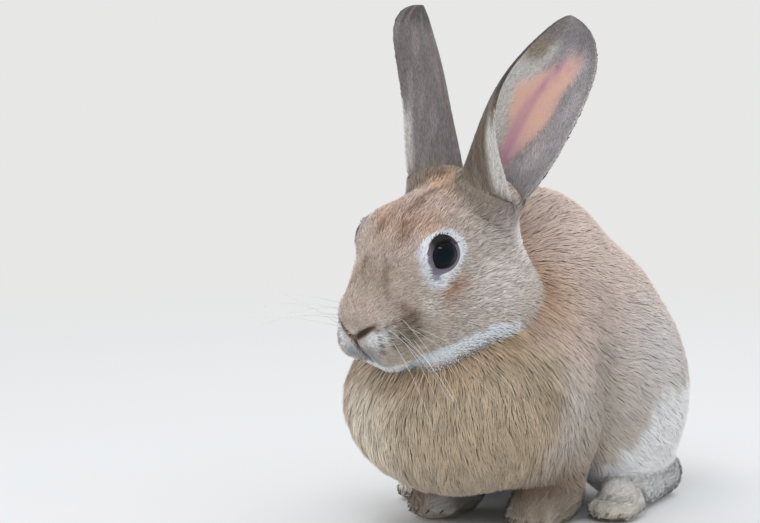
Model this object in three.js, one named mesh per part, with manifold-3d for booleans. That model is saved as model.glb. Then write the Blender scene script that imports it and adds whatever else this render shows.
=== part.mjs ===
// A sitting rabbit at life size, in millimetres. +Z is up, -Y is the way the body faces, +X is the animal's left.
// The whole animal is one smooth form built from named rounded shapes, measured to the tips of the coat.
// Wrapped shells of that form are joined, then parted into head, neck, trunk, tail, legs and feet by thin cuts.
import * as THREE from 'three';
import { LoftGeometry } from 'three/addons/geometries/LoftGeometry.js';
import { mergeVertices } from 'three/addons/utils/BufferGeometryUtils.js';
import Module from 'manifold-3d';

const wasm = await Module();
wasm.setup();

// ---------------------------------------------------------------- driving dimensions

const GAP = 0.3; // clear width of every cut between two pieces
const LEFT = 1; // sign of x on the animal's left side
const RIGHT = -1;
const SIDES = [LEFT, RIGHT];

// The head turns, nods and tilts about a point in its middle, between the eyes.
const HEAD_AT = new THREE.Vector3(-4.6, -95.3, 165);
const HEAD_NOD = 28; // degrees, nose down
const HEAD_TURN = -13; // degrees, towards the animal's right
const HEAD_TILT = 9; // degrees, crown towards the animal's left

const EYE_RADIUS = 9.5;
const EYE_OUT = 24.8; // eye centre, sideways from the middle of the head
const EYE_FORWARD = 8;
const EYE_UP = 13;

// Each ear is a leaf rolled into a tube at its root. Places and directions are in the head's own frame:
// x to the side, y back, z up. Roll is half the angle that the leaf bends through, rollFade how soon the leaf
// opens above its root, wrap how much further its front part bends round the root, lean how the back of the leaf
// sets off from its own line, tipFall how bluntly it ends, and bow how far it bends to the rear a third of the
// way up.
const EARS = {
  [LEFT]: {
    root: [15, 47, 14], along: [0.28, 0.596, 0.756], opening: [0.93, 0.04, 0.33], length: 115,
    rootHalf: 38, fullHalf: 41.5, widestAt: 0.38, rootRoll: 2.2, tipRoll: 0.95, rollFade: 2.9, tipFall: 2.3,
    wrap: 0.6, lean: 1, bow: 4,
  },
  [RIGHT]: {
    root: [-20, 49, 9], along: [-0.435, 0.641, 0.629], opening: [-0.96, -0.14, -0.08], length: 117,
    rootHalf: 36, fullHalf: 28, widestAt: 0.55, rootRoll: 2.3, tipRoll: 0.95, rollFade: 2, tipFall: 5,
    wrap: 0, lean: 1.3, bow: 0,
  },
};
const EAR_THICK = 3.4; // at the middle of the root, coat included
const EAR_EDGE = 1.4; // at the rim
const EAR_ROWS = 15;
const EAR_POINTS = 6; // across one face of the leaf

// How far each foreleg stands from the middle. The right one is drawn in.
const FORELEG_OUT = { [LEFT]: 35, [RIGHT]: 30 };
const TOES = 4;
const TOE_PITCH_FORE = 7;
const TOE_PITCH_HIND = 6.2;
const CLAW_LENGTH = 10;
const CLAW_SHOWN = 5; // how much of it stands out of the toe
const CLAW_RADIUS = 2;
const CLAW_BEND = 2.5; // how far the tip drops

const COLOURS = {
  head: '#b39a7f', neck: '#b78f6a', trunk: '#b19a80', tail: '#c9bda9', ear: '#94836f', thigh: '#bdae99',
  foreleg: '#b08d6c', forepaw: '#c6b49c', hindFoot: '#ded6c8', eye: '#120d0b', claw: '#4d443c',
};

// ---------------------------------------------------------------- the smooth form

const vector = (values) => new THREE.Vector3(...values);
const radians = THREE.MathUtils.degToRad;

// An ellipsoid: centre, half sizes, and a nose-up tilt about x in degrees.
function ball(centre, radii, tilt = 0) {
  return { centre: vector(centre), radii: vector(radii), tilt: radians(tilt) };
}

// A tapered round limb from one centre to another.
function limb(from, to, fromRadius, toRadius) {
  return { from: vector(from), to: vector(to), fromRadius, toRadius };
}

// The outermost distance of a point from a ball, negative inside it.
function ballDistance(point, { centre, radii, tilt }) {
  const x = (point.x - centre.x) / radii.x;
  const dy = point.y - centre.y;
  const dz = point.z - centre.z;
  const y = (dy * Math.cos(tilt) + dz * Math.sin(tilt)) / radii.y;
  const z = (dz * Math.cos(tilt) - dy * Math.sin(tilt)) / radii.z;
  const near = Math.hypot(x, y, z);
  if (near < 1e-6) return -Math.min(radii.x, radii.y, radii.z);
  const steep = Math.hypot(x / radii.x, y / radii.y, z / radii.z);
  return near * (near - 1) / steep;
}

function limbDistance(point, { from, to, fromRadius, toRadius }) {
  const bone = to.clone().sub(from);
  const reach = point.clone().sub(from);
  const share = THREE.MathUtils.clamp(reach.dot(bone) / bone.lengthSq(), 0, 1);
  return reach.addScaledVector(bone, -share).length() - THREE.MathUtils.lerp(fromRadius, toRadius, share);
}

// The smaller of two distances, with the crease between them filled to a radius.
function blend(a, b, fill) {
  const near = Math.max(fill - Math.abs(a - b), 0) / fill;
  return Math.min(a, b) - near * near * fill / 4;
}

// One group of shapes blended together. Each shape is given with its own fill.
function groupDistance(point, group) {
  let distance = Infinity;
  for (const [fill, shape] of group) {
    const own = shape.radii ? ballDistance(point, shape) : limbDistance(point, shape);
    distance = distance === Infinity ? own : blend(distance, own, fill);
  }
  return distance;
}

// A distance function over several groups, joined in order with one fill each.
function joined(first, ...others) {
  return (point) => others.reduce(
    (distance, [fill, group]) => blend(distance, groupDistance(point, group), fill),
    groupDistance(point, first),
  );
}

const both = (make) => SIDES.flatMap(make);
const headPose = new THREE.Matrix4().compose(
  HEAD_AT,
  new THREE.Quaternion().setFromEuler(new THREE.Euler(radians(HEAD_NOD), radians(HEAD_TILT), radians(HEAD_TURN), 'ZXY')),
  new THREE.Vector3(1, 1, 1),
);
const fromHead = (values) => vector(values).applyMatrix4(headPose).toArray();

const TRUNK = [
  [20, ball([0, 74, 90], [69, 74, 77])], // rump
  [20, ball([0, 30, 115], [60, 65, 82])], // loin
  [20, ball([0, -18, 98], [60, 58, 60])], // shoulders
  [14, ball([0, -62, 77], [67, 55, 54])], // chest
];
const NECK = [[20, limb([0, -45, 112], fromHead([0, 32, -13]), 46, 32)]];
const HAUNCHES = both((s) => [[12, ball([s * 46, 74, 66], [34, 62, 62], -12)]]);
const SHOULDERS = both((s) => [[14, ball([s * 36, -20, 66], [24, 36, 42])]]);
const foreX = (s) => s * FORELEG_OUT[s];
const foreleg = (s) => [[8, limb([foreX(s), -2, 56], [foreX(s), -4, 22], 26, 19.5)]];
const foreToes = (s) => toes(foreX(s), TOE_PITCH_FORE, -24, -38, 10, 8);
const hindToes = (s) => toes(s * 65, TOE_PITCH_HIND, 34, 9, 9, 8);
const forepaw = (s) => [[6, limb([foreX(s), -4, 16], [foreX(s), -28, 13], 18.5, 15.5)], ...foreToes(s)];
const hindFoot = (s) => [[8, limb([s * 55, 106, 14], [s * 63, 30, 12], 15, 13)], ...hindToes(s)];
const TAIL = [[6, ball([0, 144, 56], [20, 20, 27], -14)]];

// Four toes side by side. The middle two reach a little further forward.
function toes(x, pitch, back, front, height, radius) {
  return Array.from({ length: TOES }, (_, i) => {
    const out = i - (TOES - 1) / 2;
    const tip = front + 2.4 * out * out;
    return [3, limb([x + out * pitch * 0.7, back, height], [x + out * pitch, tip, height - 2], radius, radius - 1.5)];
  });
}

// The head, in its own frame.
const HEAD = [
  [10, ball([0, 8, 2], [33, 44, 29])], // skull
  [10, ball([0, 42, -8], [33, 28, 34])], // occiput
  [10, limb([0, -2, 4], [0, -46, -10], 27.5, 20)], // bridge of the nose
  [5, ball([0, -55, -14], [14, 9, 11])], // tip of the nose
  ...both((s) => [
    [12, ball([s * 22, 22, -40], [23, 37, 36])], // cheek
    [12, ball([s * 19, -1, -46], [21, 36, 28])], // lower cheek
    [8, ball([s * 12, -42, -26], [14, 21, 15])], // whisker pad
    [8, ball([s * 22.5, -5, 15], [9, 17, 10])], // brow
    [12, ball([s * 17, -14, -17], [16, 28, 20])], // face under the eye
    [12, limb([s * 20, 49, 10], [s * 29, 38, 2], 14, 8)], // root of the ear
  ]),
  [12, limb([0, 16, -50], [0, -40, -38], 25, 12)], // lower jaw
];

const bodyDistance = joined(TRUNK, [18, NECK], [10, HAUNCHES], [24, SHOULDERS]);
const headDistance = joined(HEAD);

// ---------------------------------------------------------------- shells and solids

// A capsule laid onto a form: each of its points leaves the bone and goes out until it meets the surface,
// or stops at the reach. The spare is added to the surface all round.
function wrap({ from, to, cap, around, along, reach, distance, spare = 0 }) {
  const bone = vector(to).sub(vector(from));
  const half = bone.length() / 2;
  const middle = vector(from).add(vector(to)).divideScalar(2);
  const turn = new THREE.Quaternion().setFromUnitVectors(new THREE.Vector3(0, 1, 0), bone.normalize());
  const geometry = new THREE.CapsuleGeometry(1, 2 * half, cap, around, along);
  const points = geometry.getAttribute('position');
  const point = new THREE.Vector3();
  for (let i = 0; i < points.count; i += 1) {
    point.fromBufferAttribute(points, i);
    const start = new THREE.Vector3(0, THREE.MathUtils.clamp(point.y, -half, half), 0);
    const way = point.clone().sub(start).normalize().applyQuaternion(turn);
    start.applyQuaternion(turn).add(middle);
    const out = marchOut(start, way, distance, spare, reach + spare);
    points.setXYZ(i, ...start.addScaledVector(way, out).toArray());
  }
  return geometry;
}

// How far along a ray the surface lies.
function marchOut(start, way, distance, spare, reach) {
  const point = new THREE.Vector3();
  let out = 0;
  for (let step = 0; step < 80; step += 1) {
    point.copy(start).addScaledVector(way, out);
    const left = spare - distance(point);
    out = Math.min(out + 0.8 * left, reach);
    if (Math.abs(left) < 1e-3) break;
  }
  return out;
}

// A closed three.js geometry as a solid that can be joined and cut.
function solid(geometry) {
  const plain = new THREE.BufferGeometry();
  plain.setAttribute('position', geometry.getAttribute('position').clone());
  plain.setIndex(geometry.index ? geometry.index.clone() : null);
  const shared = mergeVertices(plain, 1e-3);
  const corners = [];
  const index = shared.index.array;
  for (let i = 0; i < index.length; i += 3) {
    const [a, b, c] = [index[i], index[i + 1], index[i + 2]];
    if (a !== b && b !== c && c !== a) corners.push(a, b, c);
  }
  const vertProperties = new Float32Array(shared.getAttribute('position').array);
  return new wasm.Manifold(new wasm.Mesh({ numProp: 3, vertProperties, triVerts: new Uint32Array(corners) }));
}

function geometryOf(shape) {
  const { vertProperties, triVerts } = shape.getMesh();
  const geometry = new THREE.BufferGeometry();
  geometry.setAttribute('position', new THREE.BufferAttribute(new Float32Array(vertProperties), 3));
  geometry.setIndex(Array.from(triVerts));
  geometry.computeVertexNormals();
  return geometry;
}

// A solid together with a copy grown by the gap, which cuts its neighbours.
function pair(make) {
  return { own: solid(make(0)), grown: solid(make(GAP)) };
}

function ellipsoid(centre, radii, spare, tilt = 0) {
  return new THREE.SphereGeometry(1, 10, 8)
    .scale(...radii.map((radius) => radius + spare))
    .rotateX(radians(tilt))
    .translate(...centre);
}

const cutAll = (shape, cutters) => cutters.reduce((left, cutter) => left.subtract(cutter), shape);

// ---------------------------------------------------------------- the pieces

const bodyShell = wrap({
  from: [0, 80, 92], to: [0, -52, 92], cap: 6, around: 28, along: 8, reach: 130, distance: bodyDistance,
});
const headShell = (spare) => wrap({
  from: [0, 40, -14], to: [0, -40, -18], cap: 5, around: 30, along: 13, reach: 90, distance: headDistance, spare,
});
const forelegShell = (s) => wrap({
  from: [foreX(s), -2, 54], to: [foreX(s), -4, 22], cap: 3, around: 12, along: 3, reach: 40,
  distance: joined(foreleg(s)),
});
const forepawShell = (s, spare) => wrap({
  from: [foreX(s), -4, 13], to: [foreX(s), -30, 11], cap: 4, around: 14, along: 3, reach: 40,
  distance: joined(forepaw(s)), spare,
});
const hindFootShell = (s, spare) => wrap({
  from: [s * 55, 106, 13], to: [s * 64.5, 16, 10], cap: 4, around: 12, along: 8, reach: 40,
  distance: joined(hindFoot(s)), spare,
});
const tailShell = (spare) => wrap({
  from: [0, 144, 52], to: [0, 144, 60], cap: 4, around: 12, along: 1, reach: 40, distance: joined(TAIL), spare,
});

const floor = solid(new THREE.BoxGeometry(400, 600, 40).translate(0, 0, -20));
const body = SIDES.reduce((whole, s) => whole.add(solid(forelegShell(s))), solid(bodyShell));
const headInBody = solid(headShell(GAP).applyMatrix4(headPose));
const forepaws = SIDES.map((s) => pair((spare) => forepawShell(s, spare)));
const hindFeet = SIDES.map((s) => pair((spare) => hindFootShell(s, spare)));
const tail = pair(tailShell);

// Where the limbs and the neck are parted from the trunk.
const thighZones = SIDES.map((s) => pair((spare) => ellipsoid([s * 57, 72, 57], [49, 64, 63], spare, -12)));
const forelegZones = SIDES.map((s) => pair((spare) => ellipsoid([foreX(s) + s * 17, -18, 48], [37, 34, 56], spare)));
const neckZone = pair((spare) => ellipsoid([1, -58, 150], [66, 60, 36], spare, 4));

const feetCut = [...forepaws, ...hindFeet].map(({ grown }) => grown);
const limbsCut = [...thighZones, ...forelegZones].map(({ grown }) => grown);
const neck = cutAll(body.intersect(neckZone.own), [headInBody, ...limbsCut]);
const trunk = cutAll(body, [headInBody, neckZone.grown, tail.grown, ...limbsCut, ...feetCut]);

const eyeAt = (s) => [s * EYE_OUT, -EYE_FORWARD, EYE_UP];
const eyeBall = (spare) => new THREE.SphereGeometry(EYE_RADIUS + spare, 11, 8);
const sockets = SIDES.map((s) => solid(eyeBall(GAP).translate(...eyeAt(s))));
const head = cutAll(solid(headShell(0)), sockets);

// Half the width of the ear's leaf, along its bend, at a share of its length.
function earHalf(share, { rootHalf, fullHalf, widestAt, tipFall }) {
  if (share < widestAt) {
    return rootHalf + (fullHalf - rootHalf) * Math.sin(Math.max(share, 0) / widestAt * Math.PI / 2) ** 1.3;
  }
  const past = (share - widestAt) / (1 - widestAt);
  return fullHalf * Math.sqrt(1 - past ** tipFall);
}

// One ring round the ear's leaf: over its outer face from the front rim to the back one, and back inside.
function earRing(share, side, ear) {
  const along = vector(ear.along).normalize();
  const opening = vector(ear.opening).projectOnPlane(along).normalize();
  const across = along.clone().cross(opening).multiplyScalar(side);
  const low = Math.min(1 - share, 1);
  const roll = THREE.MathUtils.lerp(ear.tipRoll, ear.rootRoll, low ** ear.rollFade);
  const frontRoll = roll * (1 + ear.wrap * Math.max(1 - (1 - low) / 0.75, 0) ** 1.4);
  const radius = earHalf(share, ear) / roll;
  const centre = vector(ear.root)
    .addScaledVector(along, share * ear.length)
    .addScaledVector(opening, radius * (1 - 0.9 * (1 - share) ** ear.lean))
    .addScaledVector(across, ear.bow * 6.75 * share * (1 - share) ** 2);
  const ring = [];
  for (const face of [1, -1]) {
    for (let i = 0; i < EAR_POINTS; i += 1) {
      const q = face * (2 * i / (EAR_POINTS - 1) - 1);
      const middle = EAR_THICK * (1 - 0.45 * share) - EAR_EDGE;
      const out = radius + face * (EAR_EDGE + middle * (1 - q * q)) / 2;
      const bend = q * (q < 0 ? frontRoll : roll);
      ring.push(centre.clone()
        .addScaledVector(opening, -out * Math.cos(bend))
        .addScaledVector(across, out * Math.sin(bend)));
    }
  }
  return side === RIGHT ? ring : ring.reverse();
}

function earShell(side) {
  const rows = Array.from({ length: EAR_ROWS }, (_, i) => {
    const step = i / (EAR_ROWS - 1);
    return earRing(-0.05 + 1.045 * Math.sin(step * Math.PI / 2) ** 1.25, side, EARS[side]);
  });
  return new LoftGeometry(rows, { capStart: true, capEnd: true });
}

// A claw: a cone along -Y from its root at the origin, with the tip bent down.
function claw() {
  const geometry = new THREE.ConeGeometry(CLAW_RADIUS, CLAW_LENGTH, 5, 2)
    .rotateZ(Math.PI)
    .translate(0, -CLAW_LENGTH / 2, 0);
  const points = geometry.getAttribute('position');
  for (let i = 0; i < points.count; i += 1) {
    const share = -points.getY(i) / CLAW_LENGTH;
    points.setZ(i, points.getZ(i) - CLAW_BEND * share * share);
  }
  return geometry;
}

// The part of a claw that stands out of the tip of its toe.
function clawOf(toe, foot) {
  const root = toe.to.clone().setY(toe.to.y - toe.toRadius + CLAW_LENGTH - CLAW_SHOWN);
  return solid(claw().translate(...root.toArray())).subtract(foot.grown);
}

// ---------------------------------------------------------------- the scene graph

const rabbit = new THREE.Group();
const headGroup = new THREE.Group();
headGroup.applyMatrix4(headPose);
rabbit.add(headGroup);

function put(name, geometry, colour, parent = rabbit, roughness = 0.9) {
  const mesh = new THREE.Mesh(geometry, new THREE.MeshStandardMaterial({ color: colour, roughness, metalness: 0 }));
  mesh.name = name;
  parent.add(mesh);
  return mesh;
}

put('head', geometryOf(head), COLOURS.head, headGroup);
put('neck', geometryOf(neck), COLOURS.neck);
put('trunk', geometryOf(trunk), COLOURS.trunk);
put('tail', geometryOf(tail.own), COLOURS.tail);

SIDES.forEach((s, i) => {
  const side = s === LEFT ? 'left' : 'right';
  const ear = solid(earShell(s)).subtract(solid(headShell(GAP)));
  put(`ear_${side}`, geometryOf(ear), COLOURS.ear, headGroup);
  put(`eye_${side}`, eyeBall(0), COLOURS.eye, headGroup, 0.05).position.set(...eyeAt(s));

  const thigh = cutAll(body.intersect(thighZones[i].own), feetCut);
  put(`thigh_${side}`, geometryOf(thigh), COLOURS.thigh);
  put(`hind_foot_${side}`, geometryOf(hindFeet[i].own.subtract(floor)), COLOURS.hindFoot);
  const upper = cutAll(body.intersect(forelegZones[i].own), [...feetCut, ...thighZones.map(({ grown }) => grown)]);
  put(`foreleg_${side}`, geometryOf(upper), COLOURS.foreleg);
  put(`forepaw_${side}`, geometryOf(forepaws[i].own.subtract(floor)), COLOURS.forepaw);

  for (const [foot, toeList, where] of [[forepaws[i], foreToes(s), 'fore'], [hindFeet[i], hindToes(s), 'hind']]) {
    toeList.forEach(([, toe], number) => {
      put(`claw_${where}_${side}_${number + 1}`, geometryOf(clawOf(toe, foot)), COLOURS.claw, rabbit, 0.4);
    });
  }
});

const middle = new THREE.Box3().setFromObject(rabbit, true).getCenter(new THREE.Vector3());
rabbit.position.set(-middle.x, -middle.y, 0);

export default rabbit;
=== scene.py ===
"""A sitting rabbit at life size: one skin with eyelids, nostrils and ears, glossy eyes, claws, whiskers,
and a coat of thin closed blades that lie along the body. Shapes are worked out in millimetres, in the
animal's own frame (+x its left, -y forward, +z up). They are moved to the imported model's frame, in metres,
when a mesh is made."""

import math

import bmesh
import bpy
import numpy as np
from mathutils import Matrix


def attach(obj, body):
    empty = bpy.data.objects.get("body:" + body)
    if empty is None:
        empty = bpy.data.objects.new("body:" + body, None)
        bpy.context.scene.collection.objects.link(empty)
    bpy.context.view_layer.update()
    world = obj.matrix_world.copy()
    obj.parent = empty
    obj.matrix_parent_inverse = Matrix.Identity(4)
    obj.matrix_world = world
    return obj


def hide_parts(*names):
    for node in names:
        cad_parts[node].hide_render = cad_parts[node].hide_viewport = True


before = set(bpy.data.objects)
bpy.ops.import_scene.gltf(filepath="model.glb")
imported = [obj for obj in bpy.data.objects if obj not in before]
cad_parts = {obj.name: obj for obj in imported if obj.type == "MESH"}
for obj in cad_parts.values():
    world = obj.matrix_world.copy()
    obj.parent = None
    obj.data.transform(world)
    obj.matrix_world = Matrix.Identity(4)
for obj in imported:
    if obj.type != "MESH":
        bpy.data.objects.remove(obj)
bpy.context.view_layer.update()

MM = 0.001
LEFT, RIGHT = 1, -1
SIDES = (LEFT, RIGHT)
NAMES = {LEFT: "left", RIGHT: "right"}

# ------------------------------------------------------------------ small maths


def unit(v):
    """Each vector divided by its own length."""
    return v / np.maximum(np.linalg.norm(v, axis=-1, keepdims=True), 1e-9)


def smooth(x):
    """0 below 0, 1 above 1, and the cubic 3x^2 - 2x^3 between them."""
    x = np.clip(x, 0.0, 1.0)
    return x * x * (3 - 2 * x)


def mix(a, b, share):
    """a where the share is 0 and b where it is 1."""
    return a + (b - a) * share


def blend(a, b, fill):
    """The smaller of two distances, with the crease between them filled: min - (fill - |a - b|)^2 / 4 fill,
    where they differ by less than the fill."""
    near = np.maximum(fill - np.abs(a - b), 0) / fill
    return np.minimum(a, b) - near * near * fill / 4


def carve(a, b, fill):
    """Distance a with the solid of distance b cut out of it, the edge rounded."""
    return -blend(-a, b, fill)


def turn(axis, degrees):
    """The matrix of a turn about one axis."""
    a = math.radians(degrees)
    c, s = math.cos(a), math.sin(a)
    rows = {
        "x": [[1, 0, 0], [0, c, -s], [0, s, c]],
        "y": [[c, 0, s], [0, 1, 0], [-s, 0, c]],
        "z": [[c, -s, 0], [s, c, 0], [0, 0, 1]],
    }
    return np.array(rows[axis], float)


def waves(points, size, seed, count=7):
    """A smooth random field: the mean of sine waves with random directions. Gives its value, within about
    -1 and 1, and the direction in which it grows."""
    rng = np.random.default_rng(seed)
    ways = unit(rng.normal(size=(count, 3))) * 2 * np.pi / size
    ways = ways * rng.uniform(0.7, 1.4, (count, 1))
    phases = rng.uniform(0, 2 * np.pi, count)
    turns = points @ ways.T + phases
    value = np.sin(turns).sum(-1) / math.sqrt(count)
    slope = np.cos(turns) @ unit(ways) / math.sqrt(count)
    return value, slope


# ------------------------------------------------------------------ the animal's form

HEAD_AT = np.array([-4.6, -95.3, 165.0])
HEAD_AXES = turn("z", -13) @ turn("x", 28) @ turn("y", 9)
EYE_RADIUS = 9.5
EYE_AT = {s: np.array([s * 24.8, -8.0, 13.0]) for s in SIDES}  # in the head's frame
EYE_WAY = {s: unit(np.array([s * 0.90, -0.40, 0.17])) for s in SIDES}

EARS = {
    LEFT: dict(root=(15, 47, 14), along=(0.28, 0.596, 0.756), opening=(0.93, 0.04, 0.33), length=115,
               root_half=38, full_half=41.5, widest_at=0.38, root_roll=2.2, tip_roll=0.95, fade=2.9, fall=2.3,
               wrap=0.6, lean=1.0, bow=4),
    RIGHT: dict(root=(-20, 49, 9), along=(-0.435, 0.641, 0.629), opening=(-0.96, -0.14, -0.08), length=117,
                root_half=36, full_half=28, widest_at=0.55, root_roll=2.3, tip_roll=0.95, fade=2.0, fall=3.4,
                wrap=0.0, lean=1.3, bow=0),
}
EAR_THICK = 3.4
EAR_EDGE = 1.4
EAR_COAT = 0.55


def to_head(points):
    """Points of the animal's frame in the head's frame: x to the side, y back, z up."""
    return (points - HEAD_AT) @ HEAD_AXES


def from_head(points):
    return HEAD_AT + np.asarray(points, float) @ HEAD_AXES.T


def ball(centre, radii, tilt=0.0):
    return ("ball", np.array(centre, float), np.array(radii, float), turn("x", tilt))


def limb(start, end, start_radius, end_radius):
    return ("limb", np.array(start, float), np.array(end, float), (start_radius, end_radius))


def shape_distance(points, shape):
    """Signed distance to a ball (an ellipsoid: k0 (k0 - 1) / k1, with k0 and k1 the lengths of the point over
    the radii once and twice) or to a limb (distance to its bone less the radius at that place)."""
    kind, a, b, c = shape
    if kind == "ball":
        q = (points - a) @ c
        once = np.linalg.norm(q / b, axis=-1)
        twice = np.linalg.norm(q / (b * b), axis=-1)
        return np.where(once < 1e-6, -b.min(), once * (once - 1) / np.maximum(twice, 1e-9))
    bone = b - a
    share = np.clip((points - a) @ bone / (bone @ bone), 0, 1)
    radius = c[0] + (c[1] - c[0]) * share
    return np.linalg.norm(points - a - share[..., None] * bone, axis=-1) - radius


def group_distance(points, group):
    """Shapes blended one after another, each with its own fill."""
    distance = shape_distance(points, group[0][1])
    for fill, shape in group[1:]:
        distance = blend(distance, shape_distance(points, shape), fill)
    return distance


def both(make):
    return [item for s in SIDES for item in make(s)]


def toes(x, pitch, back, front, height, radius):
    """Four toes side by side, the middle two a little further forward."""
    made = []
    for i in range(4):
        out = i - 1.5
        tip = front + 2.4 * out * out
        start, end = (x + out * pitch * 0.7, back, height), (x + out * pitch, tip, height - 2)
        made.append((3, limb(start, end, radius, radius - 1.5)))
    return made


TRUNK = [
    (20, ball((0, 74, 90), (69, 74, 77))),
    (20, ball((0, 30, 115), (60, 65, 82))),
    (20, ball((0, -18, 98), (60, 58, 60))),
    (14, ball((0, -62, 77), (67, 55, 54))),
]
NECK = [(20, limb((0, -45, 112), from_head((0, 32, -13)), 46, 32))]
HAUNCHES = both(lambda s: [(12, ball((s * 46, 74, 66), (34, 62, 62), -12))])
SHOULDERS = both(lambda s: [(14, ball((s * 36, -20, 66), (24, 36, 42)))])
FORELEG_OUT = {LEFT: 35, RIGHT: -30}
FORELEGS = [(8, limb((x, -2, 56), (x, -4, 22), 26, 19.5)) for x in FORELEG_OUT.values()]
FORE_TOES = {s: toes(FORELEG_OUT[s], 7, -24, -38, 10, 8) for s in SIDES}
HIND_TOES = {s: toes(s * 65, 6.2, 34, 9, 9, 8) for s in SIDES}
FOREPAWS = both(lambda s: [
    (6, limb((FORELEG_OUT[s], -4, 16), (FORELEG_OUT[s], -28, 13), 18.5, 15.5)),
    *FORE_TOES[s],
])
HIND_FEET = both(lambda s: [(8, limb((s * 55, 106, 14), (s * 63, 30, 12), 15, 13)), *HIND_TOES[s]])
TAIL = [(6, ball((0, 144, 56), (20, 20, 27), -14))]

JOINS = (
    (18, NECK), (10, HAUNCHES), (24, SHOULDERS), (10, FORELEGS), (6, HIND_FEET), (6, FOREPAWS), (6, TAIL),
)  # how far each group's crease with the trunk is filled

HEAD = [
    (10, ball((0, 8, 2), (33, 44, 29))),  # skull
    (10, ball((0, 42, -8), (33, 28, 34))),  # occiput
    (10, limb((0, -2, 4), (0, -46, -10), 27.5, 20)),  # bridge of the nose
    (5, ball((0, -55, -14), (14, 9, 11))),  # tip of the nose
    *both(lambda s: [
        (12, ball((s * 22, 22, -40), (23, 37, 36))),  # cheek
        (12, ball((s * 19, -1, -46), (21, 36, 28))),  # lower cheek
        (8, ball((s * 12, -42, -26), (14, 21, 15))),  # whisker pad
        (8, ball((s * 22.5, -5, 15), (9, 17, 10))),  # brow
        (12, ball((s * 17, -14, -17), (16, 28, 20))),  # face under the eye
        (12, limb((s * 20, 49, 10), (s * 29, 38, 2), 14, 8)),  # root of the ear
    ]),
    (12, limb((0, 16, -50), (0, -40, -38), 25, 12)),  # lower jaw
]


def feet_distance(points):
    return np.minimum(group_distance(points, FOREPAWS), group_distance(points, HIND_FEET))


def body_distance(points):
    """The trunk, neck, haunches, shoulders, legs, feet and tail in one form."""
    distance = group_distance(points, TRUNK)
    for fill, group in JOINS:
        distance = blend(distance, group_distance(points, group), fill)
    return distance


def head_distance(points):
    return group_distance(to_head(points), HEAD)


def form_distance(points):
    """The whole animal to the tips of its coat, ears left out."""
    return blend(body_distance(points), head_distance(points), 7)


def outer_distance(points):
    """The animal to the tips of its coat, with the feet of its ears."""
    return blend(form_distance(points), ear_stub_distance(points) - EAR_COAT, 8)


# ------------------------------------------------------------------ the skin under the coat

COAT_DEPTH = dict(body=3.4, head=1.6, muzzle=0.8, foot=1.6)


def coat_depth(points):
    """How far the skin lies under the tips of the coat: deep on the body, shallow on the face and feet."""
    body, head = body_distance(points), head_distance(points)
    on_head = smooth((body - head) / 10 + 0.5)
    on_muzzle = smooth((-to_head(points)[..., 1] - 28) / 22)
    on_foot = smooth(1 - (feet_distance(points) + 1) / 7)
    depth = mix(COAT_DEPTH["body"], COAT_DEPTH["foot"], on_foot)
    return mix(depth, mix(COAT_DEPTH["head"], COAT_DEPTH["muzzle"], on_muzzle), on_head)


def settle(points, distance, rounds=6, step=0.4, most=1.5):
    """Moves points along the slope of a distance until it is zero (Newton's method, each move capped)."""
    points = points.copy()
    for _ in range(rounds):
        here = distance(points)
        slope = slope_of(points, distance, here, step)
        move = np.clip(here, -most, most) / np.maximum((slope * slope).sum(-1), 0.2)
        points -= slope * move[:, None]
    return points


def slope_of(points, distance, here, step=0.4):
    ahead = [distance(points + np.eye(3)[i] * step) for i in range(3)]
    return (np.stack(ahead, -1) - here[..., None]) / step


def on_head_form(*places):
    """Named places of the face, laid onto the surface of the head under its coat. Head's frame."""
    points = from_head(np.array(places, float))
    return to_head(settle(points, lambda p: head_distance(p) + coat_depth(p), 12))


NOSTRIL = on_head_form((2.6, -66.5, -12.4), (6.6, -65.8, -9.4), (10.6, -63.2, -6.8), (13.0, -60.6, -6.0))
PHILTRUM = on_head_form((0, -67, -12.5), (0, -66, -20), (0, -62, -29), (0, -58, -35))
MOUTH = on_head_form((0, -60, -33), (8, -58, -36.5), (15, -52, -38), (21, -43, -38.5), (25, -33, -37))
EAR_CREASE = on_head_form((12, 41, 30), (19, 35, 24), (25, 31, 18), (30, 30, 12), (34, 30, 7))
BRIDGE_LINE = on_head_form((7, -33, 17), (9, -43, 11), (15, -46, 4), (22, -43, -5), (26, -41, -13))
WHISKER_ROOTS = on_head_form(*[
    (13.5 + 3.1 * i, -60.0 + 4.4 * i + 0.5 * row, -9.0 - 4.4 * row + 0.5 * i)
    for row in range(4)
    for i in range(5)
])


def chain_distance(h, places, radii):
    """Distance to a chain of limbs through the places, mirrored on both sides of the head."""
    h = np.concatenate([np.abs(h[..., :1]), h[..., 1:]], -1)
    parts = [limb(a, b, ra, rb) for a, b, ra, rb in zip(places[:-1], places[1:], radii[:-1], radii[1:])]
    return np.min([shape_distance(h, part) for part in parts], axis=0)


def nostril_distance(h):
    return chain_distance(h, NOSTRIL, (1.2, 1.5, 1.0, 0.4))


def stroke(h, places, width):
    """1 on a line over the head's form, falling off over a width to its sides, whatever swells under it."""
    over = head_distance(from_head(h))
    aside = np.sqrt(np.maximum(chain_distance(h, places, [0.0] * len(places)) ** 2 - over**2, 0))
    return np.exp(-((aside / width) ** 2)) * smooth((10 - np.abs(over)) / 3)


def eye_polar(h, s):
    """A point about an eye: distance from its centre, angle off the eye's axis, angle round it from the
    front corner (0 forward, a quarter turn up)."""
    q = h - EYE_AT[s]
    way = EYE_WAY[s]
    forward = unit(np.array([0, -1, 0]) - way * -way[1])
    up = np.cross(forward, way) * s
    radius = np.linalg.norm(q, axis=-1)
    flat = np.stack([q @ forward, q @ up], -1)
    off = np.arctan2(np.linalg.norm(flat, axis=-1), q @ way)
    return radius, off, np.arctan2(flat[..., 1], flat[..., 0])


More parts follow.
